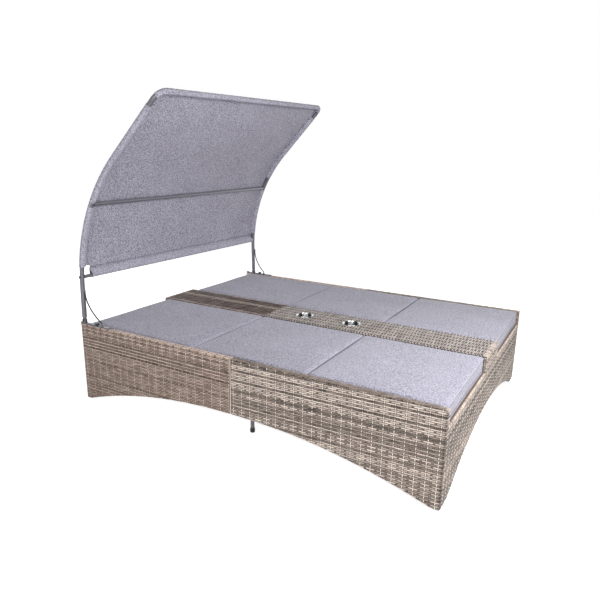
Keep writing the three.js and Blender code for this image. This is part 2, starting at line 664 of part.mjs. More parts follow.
// Canopy
function leanPoint(distance) {
  const along = new THREE.Vector3(Math.sin(LEAN_ANGLE), 0, Math.cos(LEAN_ANGLE));
  const endX = POST_X + CANOPY_BEND_RADIUS * (1 - Math.cos(LEAN_ANGLE));
  const endZ = POST_STRAIGHT_TOP + CANOPY_BEND_RADIUS * Math.sin(LEAN_ANGLE);
  return along.multiplyScalar(distance).add(new THREE.Vector3(endX, 0, endZ));
}

const LEAN_LENGTH =
  (CANOPY_TOP - POST_RADIUS - POST_STRAIGHT_TOP - CANOPY_BEND_RADIUS * Math.sin(LEAN_ANGLE)) /
  Math.cos(LEAN_ANGLE);

// Where the canopy's centre line is at a height above the floor
function sideAtHeight(z) {
  const arcTop = POST_STRAIGHT_TOP + CANOPY_BEND_RADIUS * Math.sin(LEAN_ANGLE);
  if (z <= POST_STRAIGHT_TOP) return POST_X;
  if (z >= arcTop) return leanPoint((z - arcTop) / Math.cos(LEAN_ANGLE)).x;
  const angle = Math.asin((z - POST_STRAIGHT_TOP) / CANOPY_BEND_RADIUS);
  return POST_X + CANOPY_BEND_RADIUS * (1 - Math.cos(angle));
}

// Places on the canopy's side, in X and Z, from a height on the post to a distance along the straight top
function sidePlaces(bottom, leanDistance) {
  const places = [new THREE.Vector3(sideAtHeight(bottom), 0, bottom)];
  for (let i = 0; i <= BEND_STEPS; i += 1) {
    const angle = (LEAN_ANGLE * i) / BEND_STEPS;
    const x = POST_X + CANOPY_BEND_RADIUS * (1 - Math.cos(angle));
    const z = POST_STRAIGHT_TOP + CANOPY_BEND_RADIUS * Math.sin(angle);
    if (z > bottom) places.push(new THREE.Vector3(x, 0, z));
  }
  places.push(leanPoint(leanDistance));
  return places;
}

const atY = (places, y) => places.map((p) => new THREE.Vector3(p.x, y, p.z));

// The whole bent tube: up the near post, round the near top corner, across, and down the far post
function canopyPlaces(bottom) {
  const cornerStart = LEAN_LENGTH - CORNER_RADIUS;
  const near = atY(sidePlaces(bottom, cornerStart), -POST_Y);
  for (let i = 1; i <= CORNER_STEPS; i += 1) {
    const angle = (Math.PI / 2) * (i / CORNER_STEPS);
    const point = leanPoint(cornerStart + CORNER_RADIUS * Math.sin(angle));
    point.y = -POST_Y + CORNER_RADIUS * (1 - Math.cos(angle));
    near.push(point);
  }
  const far = near.map((p) => new THREE.Vector3(p.x, -p.y, p.z)).reverse();
  return [...near, ...far];
}

// The tongue under each post: round at its pivot, wider where it joins the tube
function tongue(y) {
  const points = [];
  for (let i = 0; i <= ROD_SIDES / 2; i += 1) {
    const angle = -Math.PI * (i / (ROD_SIDES / 2));
    points.push([POST_X + TONGUE_RADIUS * Math.cos(angle), PIVOT_Z + TONGUE_RADIUS * Math.sin(angle)]);
  }
  const foot = PIVOT_Z + TUBE_FOOT_RISE;
  const head = foot + 2 * TONGUE_RADIUS;
  points.push([POST_X - TONGUE_SPREAD, foot], [POST_X - TONGUE_SPREAD, head]);
  points.push([POST_X + TONGUE_SPREAD, head], [POST_X + TONGUE_SPREAD, foot]);
  return plateAlongY(points.reverse(), y - TONGUE_THICKNESS / 2, y + TONGUE_THICKNESS / 2);
}

// The clip on each post that the check cord hangs from
function cordClip(y) {
  const [z0, z1] = [CORD_CLIP_Z - CORD_CLIP_HEIGHT / 2, CORD_CLIP_Z + CORD_CLIP_HEIGHT / 2];
  const front = sideAtHeight(CORD_CLIP_Z) + POST_RADIUS;
  const [x0, x1] = [front - POST_WALL, front + CORD_CLIP_REACH];
  return block(x0, x1, y - CORD_CLIP_HEIGHT / 4, y + CORD_CLIP_HEIGHT / 4, z0, z1);
}

function canopyFrame() {
  const places = canopyPlaces(PIVOT_Z + TUBE_FOOT_RISE);
  const tube = hollowSweep(places, POST_RADIUS, POST_WALL, TUBE_SIDES);
  const pieces = [tube];
  for (const y of [-POST_Y, POST_Y]) pieces.push(tongue(y), cordClip(y));
  const bore = rodAlongY(BOLT_RADIUS + BORE_CLEARANCE, POST_X, PIVOT_Z, -HALF_WIDTH, HALF_WIDTH);
  return rack(cut(join(...pieces), bore));
}

function canopyBar(z) {
  const reach = POST_Y - POST_RADIUS - SEAT_CLEARANCE;
  const x = sideAtHeight(z);
  const outer = rodAlongY(BAR_RADIUS, x, z, -reach, reach, TUBE_SIDES);
  return rack(cut(outer, rodAlongY(BAR_RADIUS - POST_WALL, x, z, -HALF_WIDTH, HALF_WIDTH, TUBE_SIDES)));
}

// The sheet's outline in X and Z, on the back of the tubes, from a height up to a distance on the lean
function sheetOutline(bottom, leanDistance) {
  const places = sidePlaces(bottom, leanDistance);
  const directions = places.map((p, i) => {
    const before = places[Math.max(i - 1, 0)];
    const after = places[Math.min(i + 1, places.length - 1)];
    return after.clone().sub(before).normalize();
  });
  const offset = (distance) =>
    places.map((p, i) => [p.x - directions[i].z * distance, p.z + directions[i].x * distance]);
  const inner = POST_RADIUS + FABRIC_GAP;
  return [...offset(inner), ...offset(inner + FABRIC).reverse()];
}

function hemOutline() {
  const radius = BAR_RADIUS + FABRIC_GAP + FABRIC + FABRIC_GAP;
  const x = sideAtHeight(LOWER_BAR_Z);
  const hemTop = LOWER_BAR_Z + HEM_HEIGHT;
  const points = [];
  for (let i = 0; i <= TUBE_SIDES / 2; i += 1) {
    const angle = -Math.PI * (i / (TUBE_SIDES / 2));
    points.push([x + radius * Math.cos(angle), LOWER_BAR_Z + radius * Math.sin(angle)]);
  }
  const back = x - POST_RADIUS - FABRIC_GAP - FABRIC;
  points.push([back, LOWER_BAR_Z], [back, hemTop], [back + FABRIC, hemTop]);
  return points.reverse();
}

function canopyFabric() {
  const sleeve = POST_RADIUS + FABRIC_GAP + FABRIC;
  const cornerStart = LEAN_LENGTH - CORNER_RADIUS;
  const hemReach = POST_Y - POST_RADIUS - HEM_END_GAP;
  const topSleeveReach = POST_Y - TOP_SLEEVE_INSET;
  const topPlaces = canopyPlaces(SLEEVE_BOTTOM).filter((p) => Math.abs(p.y) < topSleeveReach);
  const pieces = [
    plateAlongY(sheetOutline(LOWER_BAR_Z, cornerStart), -hemReach, hemReach),
    plateAlongY(hemOutline(), -hemReach, hemReach),
    sweep(topPlaces, sleeve, TUBE_SIDES),
  ];
  for (let i = 0; i <= CORNER_STEPS; i += 1) {
    const angle = (Math.PI / 2) * (i / CORNER_STEPS);
    const reach = POST_Y - CORNER_RADIUS * (1 - Math.cos(angle));
    const sheetTop = cornerStart + CORNER_RADIUS * Math.sin(angle);
    pieces.push(plateAlongY(sheetOutline(SLEEVE_BOTTOM, sheetTop), -reach, reach));
  }
  const sides = sidePlaces(SLEEVE_BOTTOM, cornerStart - SLEEVE_CORNER_GAP);
  for (const y of [-POST_Y, POST_Y]) pieces.push(sweep(atY(sides, y), sleeve, TUBE_SIDES));
  const slitRadius = BAR_RADIUS + SLIT_MARGIN;
  const barX = sideAtHeight(MIDDLE_BAR_Z);
  const lowerBore = BAR_RADIUS + FABRIC_GAP;
  const lowerX = sideAtHeight(LOWER_BAR_Z);
  const cutters = [
    sweep(canopyPlaces(PIVOT_Z), POST_RADIUS + FABRIC_GAP, TUBE_SIDES),
    rodAlongY(lowerBore, lowerX, LOWER_BAR_Z, -HALF_WIDTH, HALF_WIDTH, TUBE_SIDES),
  ];
  for (const side of [-1, 1]) {
    const [y0, y1] = [side * (POST_Y - POST_RADIUS / 2), side * (POST_Y - sleeve - CUT_OVERRUN)];
    const [z0, z1] = [MIDDLE_BAR_Z - slitRadius, MIDDLE_BAR_Z + slitRadius];
    cutters.push(block(barX - BAR_RADIUS - FABRIC_GAP, barX + sleeve + CUT_OVERRUN, y0, y1, z0, z1));
  }
  return rack(cut(join(...pieces), ...cutters));
}

// Brackets on the rails, with the pivot's ears, the cord's tab and a capped bolt
function canopyBracket(side) {
  const y = side * POST_Y;
  const head = -HALF_LENGTH;
  const halfWidth = RAIL_WIDTH / 2 - BRACKET_SIDE_GAP;
  const raised = (x0, x1, half, top) => block(x0, x1, y - half, y + half, BRACKET_BOTTOM, top);
  const plate = raised(head, head + BRACKET_LENGTH, halfWidth, BRACKET_TOP);
  const endLip = raised(head, head + END_LIP_LENGTH, halfWidth, BRACKET_TOP + END_LIP_HEIGHT);
  const tabHalf = CORD_TAB_LENGTH / 2;
  const tab = raised(CORD_TAB_X - tabHalf, CORD_TAB_X + tabHalf, tabHalf / 2, CORD_TAB_TOP);
  const boltTop = BRACKET_TOP + BOLT_HEAD_HEIGHT;
  const boltX = head + CAP_BOLT_INSET;
  const capBolt = rodAlongZ(BOLT_HEAD_RADIUS, boltX, y, BRACKET_BOTTOM, boltTop, TUBE_SIDES);
  const [pivotX, , pivotZ] = racked(POST_X, y, PIVOT_Z);
  const ears = [-1, 1].map((face) => {
    const y0 = y + face * (TONGUE_THICKNESS / 2 + EAR_GAP);
    const y1 = y0 + face * EAR_THICKNESS;
    const round = rodAlongY(EAR_RADIUS, pivotX, pivotZ, y0, y1);
    return join(round, block(pivotX - EAR_RADIUS, pivotX + EAR_RADIUS, y0, y1, BRACKET_BOTTOM, pivotZ));
  });
  const bore = rodAlongY(BOLT_RADIUS + BORE_CLEARANCE, pivotX, pivotZ, -HALF_WIDTH, HALF_WIDTH);
  return cut(join(plate, endLip, tab, capBolt, ...ears), bore);
}

function canopyBolt(side) {
  const y = side * POST_Y;
  const grip = TONGUE_THICKNESS / 2 + EAR_GAP + EAR_THICKNESS + SEAT_CLEARANCE;
  const [x, , z] = racked(POST_X, y, PIVOT_Z);
  const inward = y - side * (grip + BOLT_HEAD_HEIGHT);
  const outward = y + side * (grip + BOLT_HEAD_HEIGHT);
  return join(
    rodAlongY(BOLT_RADIUS, x, z, inward, outward),
    rodAlongY(BOLT_HEAD_RADIUS, x, z, y - side * grip, inward),
    rodAlongY(BOLT_HEAD_RADIUS, x, z, y + side * grip, outward),
  );
}

function clampKnob(side) {
  const points = [];
  const count = KNOB_LOBES * KNOB_LOBE_STEPS;
  for (let i = 0; i < count; i += 1) {
    const angle = (2 * Math.PI * i) / count;
    const radius = KNOB_RADIUS - KNOB_LOBE + KNOB_LOBE * Math.cos(angle * KNOB_LOBES);
    points.push([radius * Math.cos(angle), radius * Math.sin(angle)]);
  }
  const [x, y] = [KNOB_INSET - HALF_LENGTH, side * POST_Y];
  const base = BRACKET_TOP + SEAT_CLEARANCE;
  const settings = { depth: KNOB_HEIGHT, bevelEnabled: false, steps: 1 };
  const head = new THREE.ExtrudeGeometry(outline(points), settings);
  head.translate(x, y, base + KNOB_BOSS_HEIGHT);
  return join(head, rodAlongZ(KNOB_BOSS_RADIUS, x, y, base, base + KNOB_BOSS_HEIGHT + CUT_OVERRUN));
}

function checkCord(side) {
  const y = side * POST_Y;
  const topX = sideAtHeight(CORD_CLIP_Z) + POST_RADIUS + CORD_CLIP_REACH / 2;
  const topZ = CORD_CLIP_Z - CORD_CLIP_HEIGHT / 2 - CORD_TOP_GAP;
  const start = new THREE.Vector3(...racked(topX, y, topZ));
  const way = new THREE.Vector3(CORD_TAB_X, y, CORD_TAB_TOP + CORD_FOOT_GAP).sub(start);
  const places = CORD_ROUTE_SHARES.map(([across, down]) =>
    start.clone().add(new THREE.Vector3(way.x * across, 0, way.z * down)),
  );
  return sweep(new THREE.CatmullRomCurve3(places).getSpacedPoints(CORD_STEPS), CORD_RADIUS, CORD_SIDES);
}

// Finishes
const FINISHES = {
  weave: { color: 0x8c8178, roughness: 0.62, metalness: 0 },
  dark_weave: { color: 0x6f655e, roughness: 0.62, metalness: 0 },
  fabric: { color: 0xa3a2b2, roughness: 0.95, metalness: 0 },
  cushion_fabric: { color: 0xb4b3c2, roughness: 0.95, metalness: 0 },
  dark_steel: { color: 0x55565c, roughness: 0.42, metalness: 0.6 },
  plain_steel: { color: 0x9a9a9c, roughness: 0.35, metalness: 1 },
  polished_steel: { color: 0xd8d8da, roughness: 0.12, metalness: 1 },
  black_plastic: { color: 0x1b1b1d, roughness: 0.5, metalness: 0 },
  cord: { color: 0x4c4c50, roughness: 0.8, metalness: 0 },
};

const daybed = new THREE.Group();

function add(name, geometry, finish) {
  const material = new THREE.MeshStandardMaterial(FINISHES[finish]);
  const mesh = new THREE.Mesh(geometry, material);
  mesh.name = name;
  daybed.add(mesh);
}

const SIDES = { near: -1, far: 1 };
const cushionOuter = RAIL_INNER_Y - CUSHION_SIDE_GAP;
const cushionInner = HALF_CONSOLE + CUSHION_SIDE_GAP;
const middleStart = HEAD_GAP_X + CUSHION_GAP;
const middleEnd = middleStart + MIDDLE_CUSHION_LENGTH;
const deckOuter = RAIL_INNER_Y - SEAT_CLEARANCE;
const deckInner = HALF_CONSOLE + SEAT_CLEARANCE;
const deckLevels = [DECK_BOTTOM, DECK_TOP];

for (const [name, side] of Object.entries(SIDES)) {
  add(`${name}_head_side_panel`, sidePanel(side, -HALF_LENGTH, -HALF_GAP), 'weave');
  add(`${name}_foot_side_panel`, sidePanel(side, HALF_GAP, HALF_LENGTH), 'weave');
  add(`${name}_head_frame`, headFrame(side), 'dark_steel');
  add(`${name}_foot_frame`, footFrame(side), 'dark_steel');
  add(`${name}_head_glide`, cornerGlide(side, -1), 'black_plastic');
  add(`${name}_foot_glide`, cornerGlide(side, 1), 'black_plastic');
  const seatDeckStart = HINGE_X + SEAT_FOLD_GAP;
  const [outerY, innerY] = [side * deckOuter, side * deckInner];
  add(`${name}_head_seat_deck`, block(seatDeckStart, -HALF_GAP, outerY, innerY, ...deckLevels), 'weave');
  const footDeckEnd = HALF_LENGTH - SKIN - SEAT_CLEARANCE;
  add(`${name}_foot_seat_deck`, block(HALF_GAP, footDeckEnd, outerY, innerY, ...deckLevels), 'weave');
  const [cushionY0, cushionY1] = [side * cushionOuter, side * cushionInner];
  add(`${name}_middle_cushion`, cushion(middleStart, middleEnd, cushionY0, cushionY1), 'cushion_fabric');
  const footStart = middleEnd + CUSHION_GAP;
  const footEnd = HALF_LENGTH - FOOT_INSET;
  add(`${name}_foot_cushion`, cushion(footStart, footEnd, cushionY0, cushionY1), 'cushion_fabric');
  add(`${name}_outer_support_leg`, supportLeg(side * LEG_OUTER_Y), 'dark_steel');
  add(`${name}_inner_support_leg`, supportLeg(side * LEG_INNER_Y), 'dark_steel');
  add(`${name}_outer_leg_cap`, legCap(side * LEG_OUTER_Y), 'black_plastic');
  add(`${name}_inner_leg_cap`, legCap(side * LEG_INNER_Y), 'black_plastic');
  add(`${name}_stay_rack`, stayRack(side), 'plain_steel');
  add(`${name}_hinge_rod`, hingeRod(side), 'plain_steel');
  add(`${name}_backrest_frame`, backrestFrame(side), 'dark_steel');
  const backDeckStart = SEAT_CLEARANCE + DECK_EDGE_GAP - FRAME_END_X;
  const backDeckEnd = BACK_FOOT_X - BACK_FOLD_GAP;
  const [backOuter, backInner] = [side * (deckOuter - DECK_EDGE_GAP), side * (deckInner + DECK_EDGE_GAP)];
  const backDeck = block(backDeckStart, backDeckEnd, backOuter, backInner, ...deckLevels);
  add(`${name}_backrest_deck`, backDeck, 'weave');
  const headStart = HEAD_INSET - HALF_LENGTH;
  add(`${name}_head_cushion`, cushion(headStart, HEAD_GAP_X, cushionY0, cushionY1), 'cushion_fabric');
  add(`${name}_backrest_stay`, backrestStay(side), 'plain_steel');
  add(`${name}_canopy_bracket`, canopyBracket(side), 'dark_steel');
  add(`${name}_canopy_bolt`, canopyBolt(side), 'black_plastic');
  add(`${name}_clamp_knob`, clampKnob(side), 'black_plastic');
  add(`${name}_check_cord`, checkCord(side), 'cord');
}

const endSeams = {
  near: [SKIN - HALF_WIDTH, HALF_CONSOLE - HALF_GAP],
  far: [HALF_CONSOLE + HALF_GAP, HALF_WIDTH - SKIN],
};
for (const [name, [y0, y1]] of Object.entries(endSeams)) {
  add(`${name}_head_end_panel`, endPanel(-1, y0, y1), 'weave');
  add(`${name}_foot_end_panel`, endPanel(1, y0, y1), 'weave');
}

add('console_head_cover', consoleCover(-FRAME_END_X, HEAD_GAP_X, []), 'dark_weave');
const cups = [CUP_HEAD_X, CUP_FOOT_X];
add('console_foot_cover', consoleCover(HEAD_GAP_X + SEAT_CLEARANCE, FRAME_END_X, cups), 'weave');
add('head_cup_holder', cupHolder(CUP_HEAD_X), 'polished_steel');
add('foot_cup_holder', cupHolder(CUP_FOOT_X), 'polished_steel');
add('canopy_frame', canopyFrame(), 'dark_steel');
add('canopy_lower_bar', canopyBar(LOWER_BAR_Z), 'dark_steel');
add('canopy_middle_bar', canopyBar(MIDDLE_BAR_Z), 'dark_steel');
add('canopy_fabric', canopyFabric(), 'fabric');

export default daybed;
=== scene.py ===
"""The looks of an outdoor daybed with canopy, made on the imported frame."""

import math
import random

import bpy
import numpy as np
from mathutils import Matrix, Vector, noise


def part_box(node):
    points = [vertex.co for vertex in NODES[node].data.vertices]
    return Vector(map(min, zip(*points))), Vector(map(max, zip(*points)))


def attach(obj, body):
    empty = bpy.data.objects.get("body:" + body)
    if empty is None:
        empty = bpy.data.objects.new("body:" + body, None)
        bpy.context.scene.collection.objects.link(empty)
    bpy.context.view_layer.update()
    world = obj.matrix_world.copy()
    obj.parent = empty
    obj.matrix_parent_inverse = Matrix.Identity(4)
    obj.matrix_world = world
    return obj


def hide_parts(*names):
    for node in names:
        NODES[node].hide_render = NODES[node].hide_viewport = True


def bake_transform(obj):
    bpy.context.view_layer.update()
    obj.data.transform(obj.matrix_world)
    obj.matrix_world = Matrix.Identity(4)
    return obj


bl_info = {
    "name": "Outdoor daybed with canopy",
    "version": (1, 0, 0),
    "blender": (4, 5, 0),
    "location": "3D View > Sidebar > Daybed",
    "description": "Woven panels, cushions, canopy, metal parts and the stage of an outdoor daybed",
    "category": "Object",
}

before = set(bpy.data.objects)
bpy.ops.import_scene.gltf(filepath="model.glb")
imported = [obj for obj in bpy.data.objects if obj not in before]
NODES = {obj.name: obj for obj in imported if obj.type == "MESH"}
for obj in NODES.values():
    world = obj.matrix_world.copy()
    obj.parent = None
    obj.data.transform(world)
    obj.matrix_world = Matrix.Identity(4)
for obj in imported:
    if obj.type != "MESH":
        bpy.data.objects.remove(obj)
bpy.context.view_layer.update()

# Sizes that the frame gives, in metres
HALF_LENGTH = 1.0
HALF_WIDTH = 0.79
RAIL_TOP = 0.434
RAIL_INNER = 0.76
DECK_TOP = 0.354
HALF_CONSOLE = 0.135
SEAM_GAP = 0.0006
PANEL_LIFT = 0.003
POST_X = -0.961
POST_Y = 0.775
POST_RADIUS = 0.0125
POST_FOOT = 0.4693
PIVOT_Z = 0.4523
STRAIGHT_TOP = 0.64
BEND_RADIUS = 0.95
LEAN = math.radians(45.2)
CANOPY_TOP = 1.625
RACK = math.radians(1.5)
RACK_HEIGHT = 1.2
CORNER_RADIUS = 0.055
SLEEVE_CORNER_GAP = 0.032
TOP_SLEEVE_INSET = 0.005
BAR_RADIUS = 0.0095
LOWER_BAR_Z = 0.69
MIDDLE_BAR_Z = 1.08
HEM_HEIGHT = 0.04
HEM_REACH = {"near": 0.713, "far": 0.7605}
SLEEVE_BOTTOM = 0.745
CLIP_Z = 0.615
CORD_RADIUS = 0.0035
CORD_END_X = -0.848
CORD_END_Z = 0.4538
ON_FACE = 0.0005
TINY = 1e-9
SIDES = {"near": -1, "far": 1}
ENDS = {"head": -1, "foot": 1}


# Mesh helpers
class Form:
    """Points, faces and the values that a woven or sewn surface carries, gathered before the mesh is made."""

    def __init__(self):
        self.points, self.faces = [], []
        self.strand, self.tone = [], []

    def add_grid(self, rows, strand=None, tone=0.5, closed=False):
        """Adds rows of points as one surface of quads; strand holds a place on the strand for each point.

        tone is one value, or rows of values."""
        start, width = len(self.points), len(rows[0])
        for r, row in enumerate(rows):
            self.points.extend(row)
            self.strand.extend(strand[r] if strand else [(0.0, 0.0, 0.0)] * width)
            self.tone.extend(tone[r] if hasattr(tone, "__len__") else [tone] * width)
        steps = width if closed else width - 1
        for r in range(len(rows) - 1):
            for c in range(steps):
                a, b = start + r * width + c, start + r * width + (c + 1) % width
                self.add_face((a, b, b + width, a + width))

    def add_face(self, corners):
        """Adds a face, unless its corners fall together into a line or a point."""
        if len({tuple(round(v, 6) for v in self.points[i]) for i in corners}) >= 3:
            self.faces.append(corners)

    def add_disc(self, ring, tone=0.5):
        """Closes a ring of points with a fan about its middle."""
        start = len(self.points)
        self.points.extend([tuple(np.mean(ring, axis=0)), *ring])
        self.strand.extend([(0.0, 0.0, 0.0)] * (len(ring) + 1))
        self.tone.extend([tone] * (len(ring) + 1))
        for i in range(len(ring)):
            self.add_face((start, start + 1 + i, start + 1 + (i + 1) % len(ring)))

    def make(self, name, material=None, flat=False, merge=0.0):
        mesh = bpy.data.meshes.new(name)
        mesh.from_pydata([tuple(map(float, p)) for p in self.points], [], self.faces)
        mesh.polygons.foreach_set("use_smooth", [not flat] * len(self.faces))
        strand = mesh.attributes.new("strand", "FLOAT_VECTOR", "POINT")
        strand.data.foreach_set("vector", np.array(self.strand, np.float32).ravel())
        tone = mesh.attributes.new("tone", "FLOAT", "POINT")
        tone.data.foreach_set("value", np.array(self.tone, np.float32))
        if material:
            mesh.materials.append(material)
        mesh.validate()
        mesh.update()
        piece = linked(name, mesh)
        if merge:
            add_modifier(piece, "WELD", merge_threshold=merge)
            apply_modifiers(piece)
        return piece


def linked(name, mesh):
    """A new piece in the scene that shows a mesh."""
    piece = bpy.data.objects.new(name, mesh)
    bpy.context.scene.collection.objects.link(piece)
    return piece


def add_modifier(piece, kind, **settings):
    modifier = piece.modifiers.new(kind.title(), kind)
    for key, value in settings.items():
        setattr(modifier, key, value)
    return modifier


def apply_modifiers(piece):
    """Puts the result of the piece's modifiers into its mesh."""
    graph = bpy.context.evaluated_depsgraph_get()
    made = bpy.data.meshes.new_from_object(piece.evaluated_get(graph), depsgraph=graph)
    piece.modifiers.clear()
    old, piece.data = piece.data, made
    bpy.data.meshes.remove(old)
    return piece


def copy_of(node, name):
    """A new piece with the shape of a CAD node, which may then be finished further."""
    mesh = NODES[node].data.copy()
    mesh.materials.clear()
    return linked(name, mesh)


def finish_piece(piece, body, nodes=(), material=None):
    if material:
        piece.data.materials.clear()
        piece.data.materials.append(material)
    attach(piece, body)
    if nodes:
        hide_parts(*nodes)
    return piece


def soften(piece, width, segments, angle, **settings):
    """Rounds the piece's sharp edges a little, as cast, pressed or painted metal has them."""
    add_modifier(
        piece, "BEVEL", width=width, segments=segments, limit_method="ANGLE",
        angle_limit=math.radians(angle), **settings,
    )
    apply_modifiers(piece)


def rounded_node(node, body, material, width, segments=2):
    """A CAD node's shape with small rounded edges."""
    piece = copy_of(node, node + "_finished")
    add_modifier(piece, "WELD", merge_threshold=0.00002)
    soften(piece, width, segments, 35, harden_normals=True, use_clamp_overlap=True)
    piece.data.shade_smooth()
    piece.data.set_sharp_from_angle(angle=math.radians(50))
    return finish_piece(piece, body, [node], material)


def tube_rings(path, radius, sides):
    """Rings about each point of a path, in directions across it that turn as little as they can."""
    path = np.array(path, float)
    along = np.gradient(path, axis=0)
    along /= np.linalg.norm(along, axis=1)[:, None]
    upward = np.array((0.0, 1.0, 0.0))
    first = upward - along[0] * np.dot(upward, along[0])
    first /= np.linalg.norm(first)
    frames = [(first, np.cross(along[0], first))]
    for direction in along[1:]:
        a = frames[-1][0] - direction * np.dot(frames[-1][0], direction)
        a /= np.linalg.norm(a)
        frames.append((a, np.cross(direction, a)))
    turn = round_angles(sides)
    return [
        [tuple(point + radius * (math.cos(t) * a + math.sin(t) * b)) for t in turn]
        for point, (a, b) in zip(path, frames)
    ]


def round_angles(sides):
    return np.linspace(0, 2 * math.pi, sides, endpoint=False)


def add_tube(form, path, radius, sides):
    """A tube along a path, with closed ends; its strand holds the length along it and the turn round it."""
    rings = tube_rings(path, radius, sides)
    steps = np.linalg.norm(np.diff(np.array(path), axis=0), axis=1)
    lengths = np.concatenate([[0], np.cumsum(steps)])
    form.add_grid(rings, [[(s, c / sides, 0.0) for c in range(sides)] for s in lengths], closed=True)
    form.add_disc(rings[0][::-1])
    form.add_disc(rings[-1])


def add_turned(form, profile, x, y, sides, tone=lambda angle: 0.5):
    """A turned form about an upright axis, from points of radius and height; tone is given by the angle."""
    turn = round_angles(sides)
    rings = [[(x + r * math.cos(t), y + r * math.sin(t), h) for t in turn] for r, h in profile]
    form.add_grid(rings, tone=[[tone(t) for t in turn]] * len(rings), closed=True)


def round_part(node):
    """The middle in plan, the radius, the foot and the top of a round upright CAD node."""
    low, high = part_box(node)
    return (low[0] + high[0]) / 2, (low[1] + high[1]) / 2, (high[0] - low[0]) / 2, low[2], high[2]


def smooth_profile(corners, radii, steps=5):
    """A line through corners, each rounded to its radius."""
    points = [corners[0]]
    for before, at, after, radius in zip(corners, corners[1:], corners[2:], radii):
        a, b, c = (np.array(p, float) for p in (before, at, after))
        u, v = a - b, c - b
        reach = min(radius, np.linalg.norm(u) * 0.49, np.linalg.norm(v) * 0.49)
        start, end = b + u / np.linalg.norm(u) * reach, b + v / np.linalg.norm(v) * reach
        for i in range(steps + 1):
            t = i / steps
            points.append(tuple((1 - t) ** 2 * start + 2 * t * (1 - t) * b + t * t * end))
    points.append(corners[-1])
    return points


# Material helpers
def new_node(tree, kind, inputs=None, **settings):
    """A shader node; each input is a value or another node's output."""
    made = tree.nodes.new("ShaderNode" + kind)
    for key, value in settings.items():
        setattr(made, key, value)
    for key, value in (inputs or {}).items():
        if isinstance(value, bpy.types.NodeSocket):
            tree.links.new(value, made.inputs[key])
        else:
            made.inputs[key].default_value = value
    return made


class Finish:
    """A material under construction: a principled shader with the nodes that feed it."""

    def __init__(self, name, **values):
        self.material = bpy.data.materials.new(name)
        self.material.use_nodes = True
        self.tree = self.material.node_tree
        self.shader = self.tree.nodes["Principled BSDF"]
        for key, value in values.items():
            self.shader.inputs[key.replace("_", " ")].default_value = value

    def node(self, kind, inputs=None, **settings):
        return new_node(self.tree, kind, inputs, **settings)

    def attribute(self, name, output):
        """What the mesh carries at each place, such as its strand or its tone."""
        return self.node("Attribute", attribute_name=name).outputs[output]

    def stretched(self, vector, scale, rotation=(0, 0, 0)):
        made = self.node("Mapping", {"Vector": vector, "Scale": scale, "Rotation": rotation})
        return made.outputs["Vector"]

    def place(self, scale=(1, 1, 1)):
        return self.stretched(self.node("TexCoord").outputs["Object"], scale)

    def noise(self, vector, scale, detail=2.0, roughness=0.5):
        made = self.node(
            "TexNoise", {"Vector": vector, "Scale": scale, "Detail": detail, "Roughness": roughness}
        )
        return made.outputs["Fac"]

    def wave(self, vector, scale, direction="X"):
        made = self.node(
            "TexWave", {"Vector": vector, "Scale": scale, "Distortion": 0.0, "Detail": 1.0},
            wave_type="BANDS", bands_direction=direction,
        )
        return made.outputs["Fac"]

    def spread(self, value, low, high, out_low=0.0, out_high=1.0):
        made = self.node(
            "MapRange",
            {"Value": value, "From Min": low, "From Max": high, "To Min": out_low, "To Max": out_high},
        )
        return made.outputs["Result"]

    def sum(self, a, b, operation="ADD"):
        return self.node("Math", {0: a, 1: b}, operation=operation).outputs[0]

    def ramp(self, value, stops):
        made = self.node("ValToRGB", {"Fac": value})
        elements = made.color_ramp.elements
        while len(elements) < len(stops):
            elements.new(0.5)
        for element, (position, colour) in zip(elements, stops):
            element.position = position
            element.color = colour
        return made.outputs["Color"]

    def mix(self, share, a, b):
        return self.node("Mix", {0: share, 6: a, 7: b}, data_type="RGBA").outputs[2]

    def colour(self, output):
        self.tree.links.new(output, self.shader.inputs["Base Color"])

    def rough(self, output):
        self.tree.links.new(output, self.shader.inputs["Roughness"])

    def bump(self, height, distance, strength=1.0):
        made = self.node("Bump", {"Height": height, "Distance": distance, "Strength": strength})
        self.tree.links.new(made.outputs["Normal"], self.shader.inputs["Normal"])


def scaled(colour, factor):
    """A colour made lighter or darker by one factor, or tinted by a factor for each of its three parts."""
    factors = factor if hasattr(factor, "__len__") else (factor,) * 3
    return (*(min(c * f, 1.0) for c, f in zip(colour, factors)), 1.0)


def woven_strand(name, settings, tint):
    """Flat plastic strand: two-tone streaks that run along it, fine ribs across it and a soft gloss."""
    finish = Finish(name, Specular_IOR_Level=0.4, Coat_Weight=0.06, Coat_Roughness=0.35)
    strand = finish.attribute("strand", "Vector")
    fine = finish.noise(finish.stretched(strand, (16.0, 700.0, 37.0)), 1.0, 3.0, 0.6)
    broad = finish.noise(finish.stretched(strand, (24.0, 1.0, 53.0)), 1.0)
    # The mesh's tone holds each dash's own tone together with painted shade in the dips and on the foot end's
    # face
    value = finish.sum(finish.attribute("tone", "Fac"), finish.spread(fine, 0.3, 0.7, -0.06, 0.06))
    value = finish.sum(value, finish.spread(broad, 0.3, 0.7, -0.11, 0.11))
    dark, middle, pale = (scaled(c, tint) for c in (settings.dark, settings.middle, settings.pale))
    stops = [(0.0, dark), (0.42, middle), (0.78, pale), (1.0, scaled(pale, 1.18))]
    finish.colour(finish.ramp(value, stops))
    ribs = finish.wave(finish.stretched(strand, (0.0, 1.0, 0.0)), 260.0, direction="Y")
    finish.bump(finish.sum(ribs, fine), 0.00025, 0.6)
    finish.rough(finish.spread(fine, 0.25, 0.75, 0.42, 0.62))
    return finish.material


